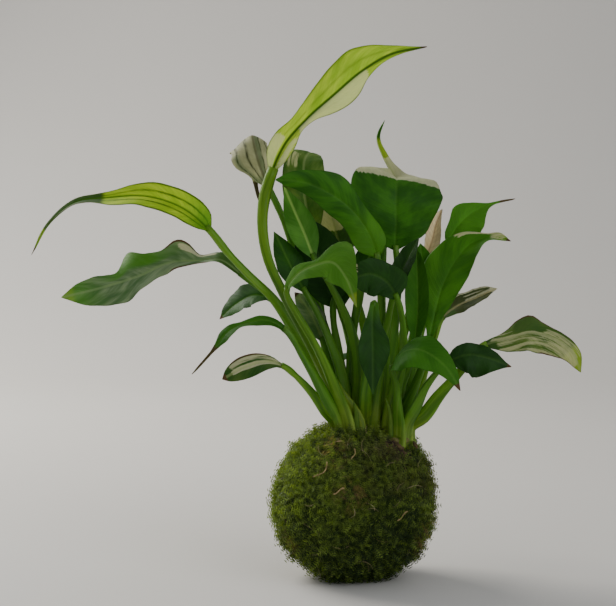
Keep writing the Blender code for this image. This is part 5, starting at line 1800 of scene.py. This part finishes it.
class KOKEDAMA_OT_leaves(bpy.types.Operator):
    """Add every leaf with its stalk"""
    bl_idname = "kokedama.leaves"
    bl_label = "Leaves"

    def execute(self, context):
        settings = context.scene.kokedama_leaves
        blades, stalks = blade_group(), stalk_group()
        materials = {}
        for name, finish in FINISHES.items():
            materials["blade_" + name] = blade_material(name, finish, blades)
        for name, colours in STALKS.items():
            materials["stalk_" + name] = stalk_material(name, *colours, stalks)
        slots = {entry["node"]: entry["material_slot"] for entry in frame["record"]["subparts"]}
        for index, spec in enumerate(LEAVES):
            leaf = build_leaf(spec, settings.seed + index, settings, materials)
            stand_for(leaf, slots[spec.name], spec.name)
        return {"FINISHED"}


class KOKEDAMA_OT_moss(bpy.types.Operator):
    """Add the moss mat and the shoots that cover it"""
    bl_idname = "kokedama.moss"
    bl_label = "Moss"

    def execute(self, context):
        settings = context.scene.kokedama_moss
        soil_settings = context.scene.kokedama_soil
        patches = moss_patch_group()
        ground = mat_mesh(settings)
        add_piece("moss_mat", ground.copy(), mat_material(patches, grain_group()),
                  "moss", "moss_layer")
        tree, sockets = scatter_tree()
        shoots = [shoot_mesh(*shape) for shape in SHOOTS]
        finish = moss_material(settings, patches)
        for index, (name, low, high) in enumerate(MOSS_BANDS):
            piece = scatter("moss_shoots_" + name, ground, shoots, tree, sockets,
                            Where="moss_cover", Density=settings.shoots_per_area,
                            Low_Edge=low, High_Edge=high, Least_Tilt=0.85, Most_Tilt=1.62,
                            Size=settings.shoot_length, Seed=settings.seed + index,
                            Material=finish)
            stand_for(piece, "moss")
        straw = toned_material("moss_straw", (0.16, 0.10, 0.04), (0.50, 0.40, 0.22), 0.7)
        piece = scatter("moss_straws", ground, [straw_mesh(*shape) for shape in STRAWS],
                        tree, sockets, Where="moss_cover", Density=STRAWS_PER_AREA,
                        Low_Edge=-1.0, High_Edge=1.0, Least_Tilt=0.9, Most_Tilt=1.45,
                        Size=STRAW_LENGTH, Seed=settings.seed + STRAW_SEED_SHIFT, Material=straw)
        stand_for(piece, "straw")
        crumb = toned_material("soil_crumbs", *darker_and_paler(soil_settings.soil_colour, 0.4, 3.5),
                               0.95)
        piece = scatter("soil_crumbs", ground, [crumb_mesh(*shape) for shape in CRUMBS],
                        tree, sockets, Where="bare_soil", Density=soil_settings.crumbs_per_area,
                        Low_Edge=-1.0, High_Edge=1.0, Least_Tilt=0.0, Most_Tilt=3.0,
                        Size=soil_settings.crumb_size, Seed=soil_settings.seed, Material=crumb)
        stand_for(piece, "soil")
        return {"FINISHED"}


class KOKEDAMA_OT_core(bpy.types.Operator):
    """Finish the soil and the root ball, and add the crowns and their sheaths"""
    bl_idname = "kokedama.core"
    bl_label = "Core, Crowns and Sheaths"

    def execute(self, context):
        grain = grain_group()
        soil = context.scene.kokedama_soil.soil_colour
        for name, colour, stretch in (("soil_ball", soil, 1.0), ("root_ball", ROOT_COLOUR, 0.3)):
            finish = earthy_material(name, *darker_and_paler(colour, 0.5, 1.5), grain,
                                     coarse=260.0, fine=1200.0, stretch=stretch, rough=0.95)
            for slot in frame["nodes"][name].material_slots:
                slot.material = finish
        tissue = earthy_material("crown_tissue", (0.10, 0.085, 0.025), (0.30, 0.27, 0.10), grain,
                                 coarse=240.0, fine=900.0, stretch=3.0, rough=0.6)
        for index, side in enumerate(CROWNS):
            low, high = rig.box("crown_" + side)
            name = "visual_crown_" + side
            mesh = crown_mesh(name, low, high, index * 3.7)
            add_piece(name, mesh, tissue, "crown_tissue", "crown_" + side)
        scale = earthy_material("sheath", (0.050, 0.125, 0.010), (0.120, 0.210, 0.026), grain,
                                coarse=300.0, fine=1200.0, stretch=0.15, rough=0.7, bump=0.0004)
        for name, side, slot, line, width in SHEATHS:
            route = Route((*stalk_foot_points(side, slot), *line), 60)
            stations = numpy.linspace(0.0, route.length, 16)
            places, directions, sides = route.frame(stations)
            normals = numpy.cross(directions, sides)
            taper = (1.0 - 0.97 * (stations / route.length) ** 1.8) * width
            mesh = tube_mesh("visual_" + name, places, sides, normals, taper, 0.45 * taper, 12)
            add_piece("visual_" + name, mesh, scale, "sheath", name)
        return {"FINISHED"}


class KOKEDAMA_OT_litter(bpy.types.Operator):
    """Add the dry twigs and the bark flakes that lie on the moss"""
    bl_idname = "kokedama.litter"
    bl_label = "Dry Bits"

    def execute(self, context):
        grain = grain_group()
        straw = context.scene.kokedama_soil.straw_colour
        twig = earthy_material("dry_twig", *darker_and_paler(straw, 0.45, 1.3), grain,
                               coarse=350.0, fine=1400.0, rough=0.7, bump=0.0003)
        for name, *shape in TWIGS:
            mesh = twig_mesh("visual_" + name, *shape)
            add_piece("visual_" + name, mesh, twig, "straw", name)
        bark = earthy_material("bark", (0.030, 0.020, 0.008), (0.14, 0.095, 0.042), grain,
                               coarse=300.0, fine=1300.0, stretch=0.4, bump=0.0006)
        for index, name in enumerate(FLAKES):
            low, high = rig.box(name)
            mesh = flake_mesh("visual_" + name, low, high, 1.3 * index + 0.7)
            add_piece("visual_" + name, mesh, bark, "bark", name)
        return {"FINISHED"}


class KOKEDAMA_PT_sidebar(bpy.types.Panel):
    """Buttons and settings for the kokedama"""
    bl_idname = "KOKEDAMA_PT_sidebar"
    bl_label = "Kokedama"
    bl_space_type = "VIEW_3D"
    bl_region_type = "UI"
    bl_category = "Kokedama"

    def draw(self, context):
        scene = context.scene
        for operator, settings in (
                (KOKEDAMA_OT_stage, scene.kokedama_stage), (KOKEDAMA_OT_leaves, scene.kokedama_leaves),
                (KOKEDAMA_OT_moss, scene.kokedama_moss), (KOKEDAMA_OT_core, scene.kokedama_soil),
                (KOKEDAMA_OT_litter, None)):
            box = self.layout.box()
            box.operator(operator.bl_idname)
            for name in (settings.bl_rna.properties.keys() if settings else ()):
                if name not in ("rna_type", "name"):
                    box.prop(settings, name)


CLASSES = (
    KokedamaLeafSettings, KokedamaMossSettings, KokedamaSoilSettings, KokedamaStageSettings,
    KOKEDAMA_OT_stage, KOKEDAMA_OT_leaves, KOKEDAMA_OT_moss, KOKEDAMA_OT_core, KOKEDAMA_OT_litter,
    KOKEDAMA_PT_sidebar,
)
SETTINGS = {
    "kokedama_leaves": KokedamaLeafSettings,
    "kokedama_moss": KokedamaMossSettings,
    "kokedama_soil": KokedamaSoilSettings,
    "kokedama_stage": KokedamaStageSettings,
}


def register():
    for item in CLASSES:
        bpy.utils.register_class(item)
    for name, kind in SETTINGS.items():
        setattr(bpy.types.Scene, name, PointerProperty(type=kind))


def unregister():
    for name in SETTINGS:
        delattr(bpy.types.Scene, name)
    for item in reversed(CLASSES):
        bpy.utils.unregister_class(item)


def main():
    register()
    bpy.ops.kokedama.stage()
    bpy.ops.kokedama.leaves()
    bpy.ops.kokedama.moss()
    bpy.ops.kokedama.core()
    bpy.ops.kokedama.litter()
    boxes = {"cad": [list(corner) for corner in CAD_BOX], "visual": [list(corner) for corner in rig.bounds()]}
    with open("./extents.json", "w") as file:
        json.dump(boxes, file)


if __name__ == "__main__":
    main()
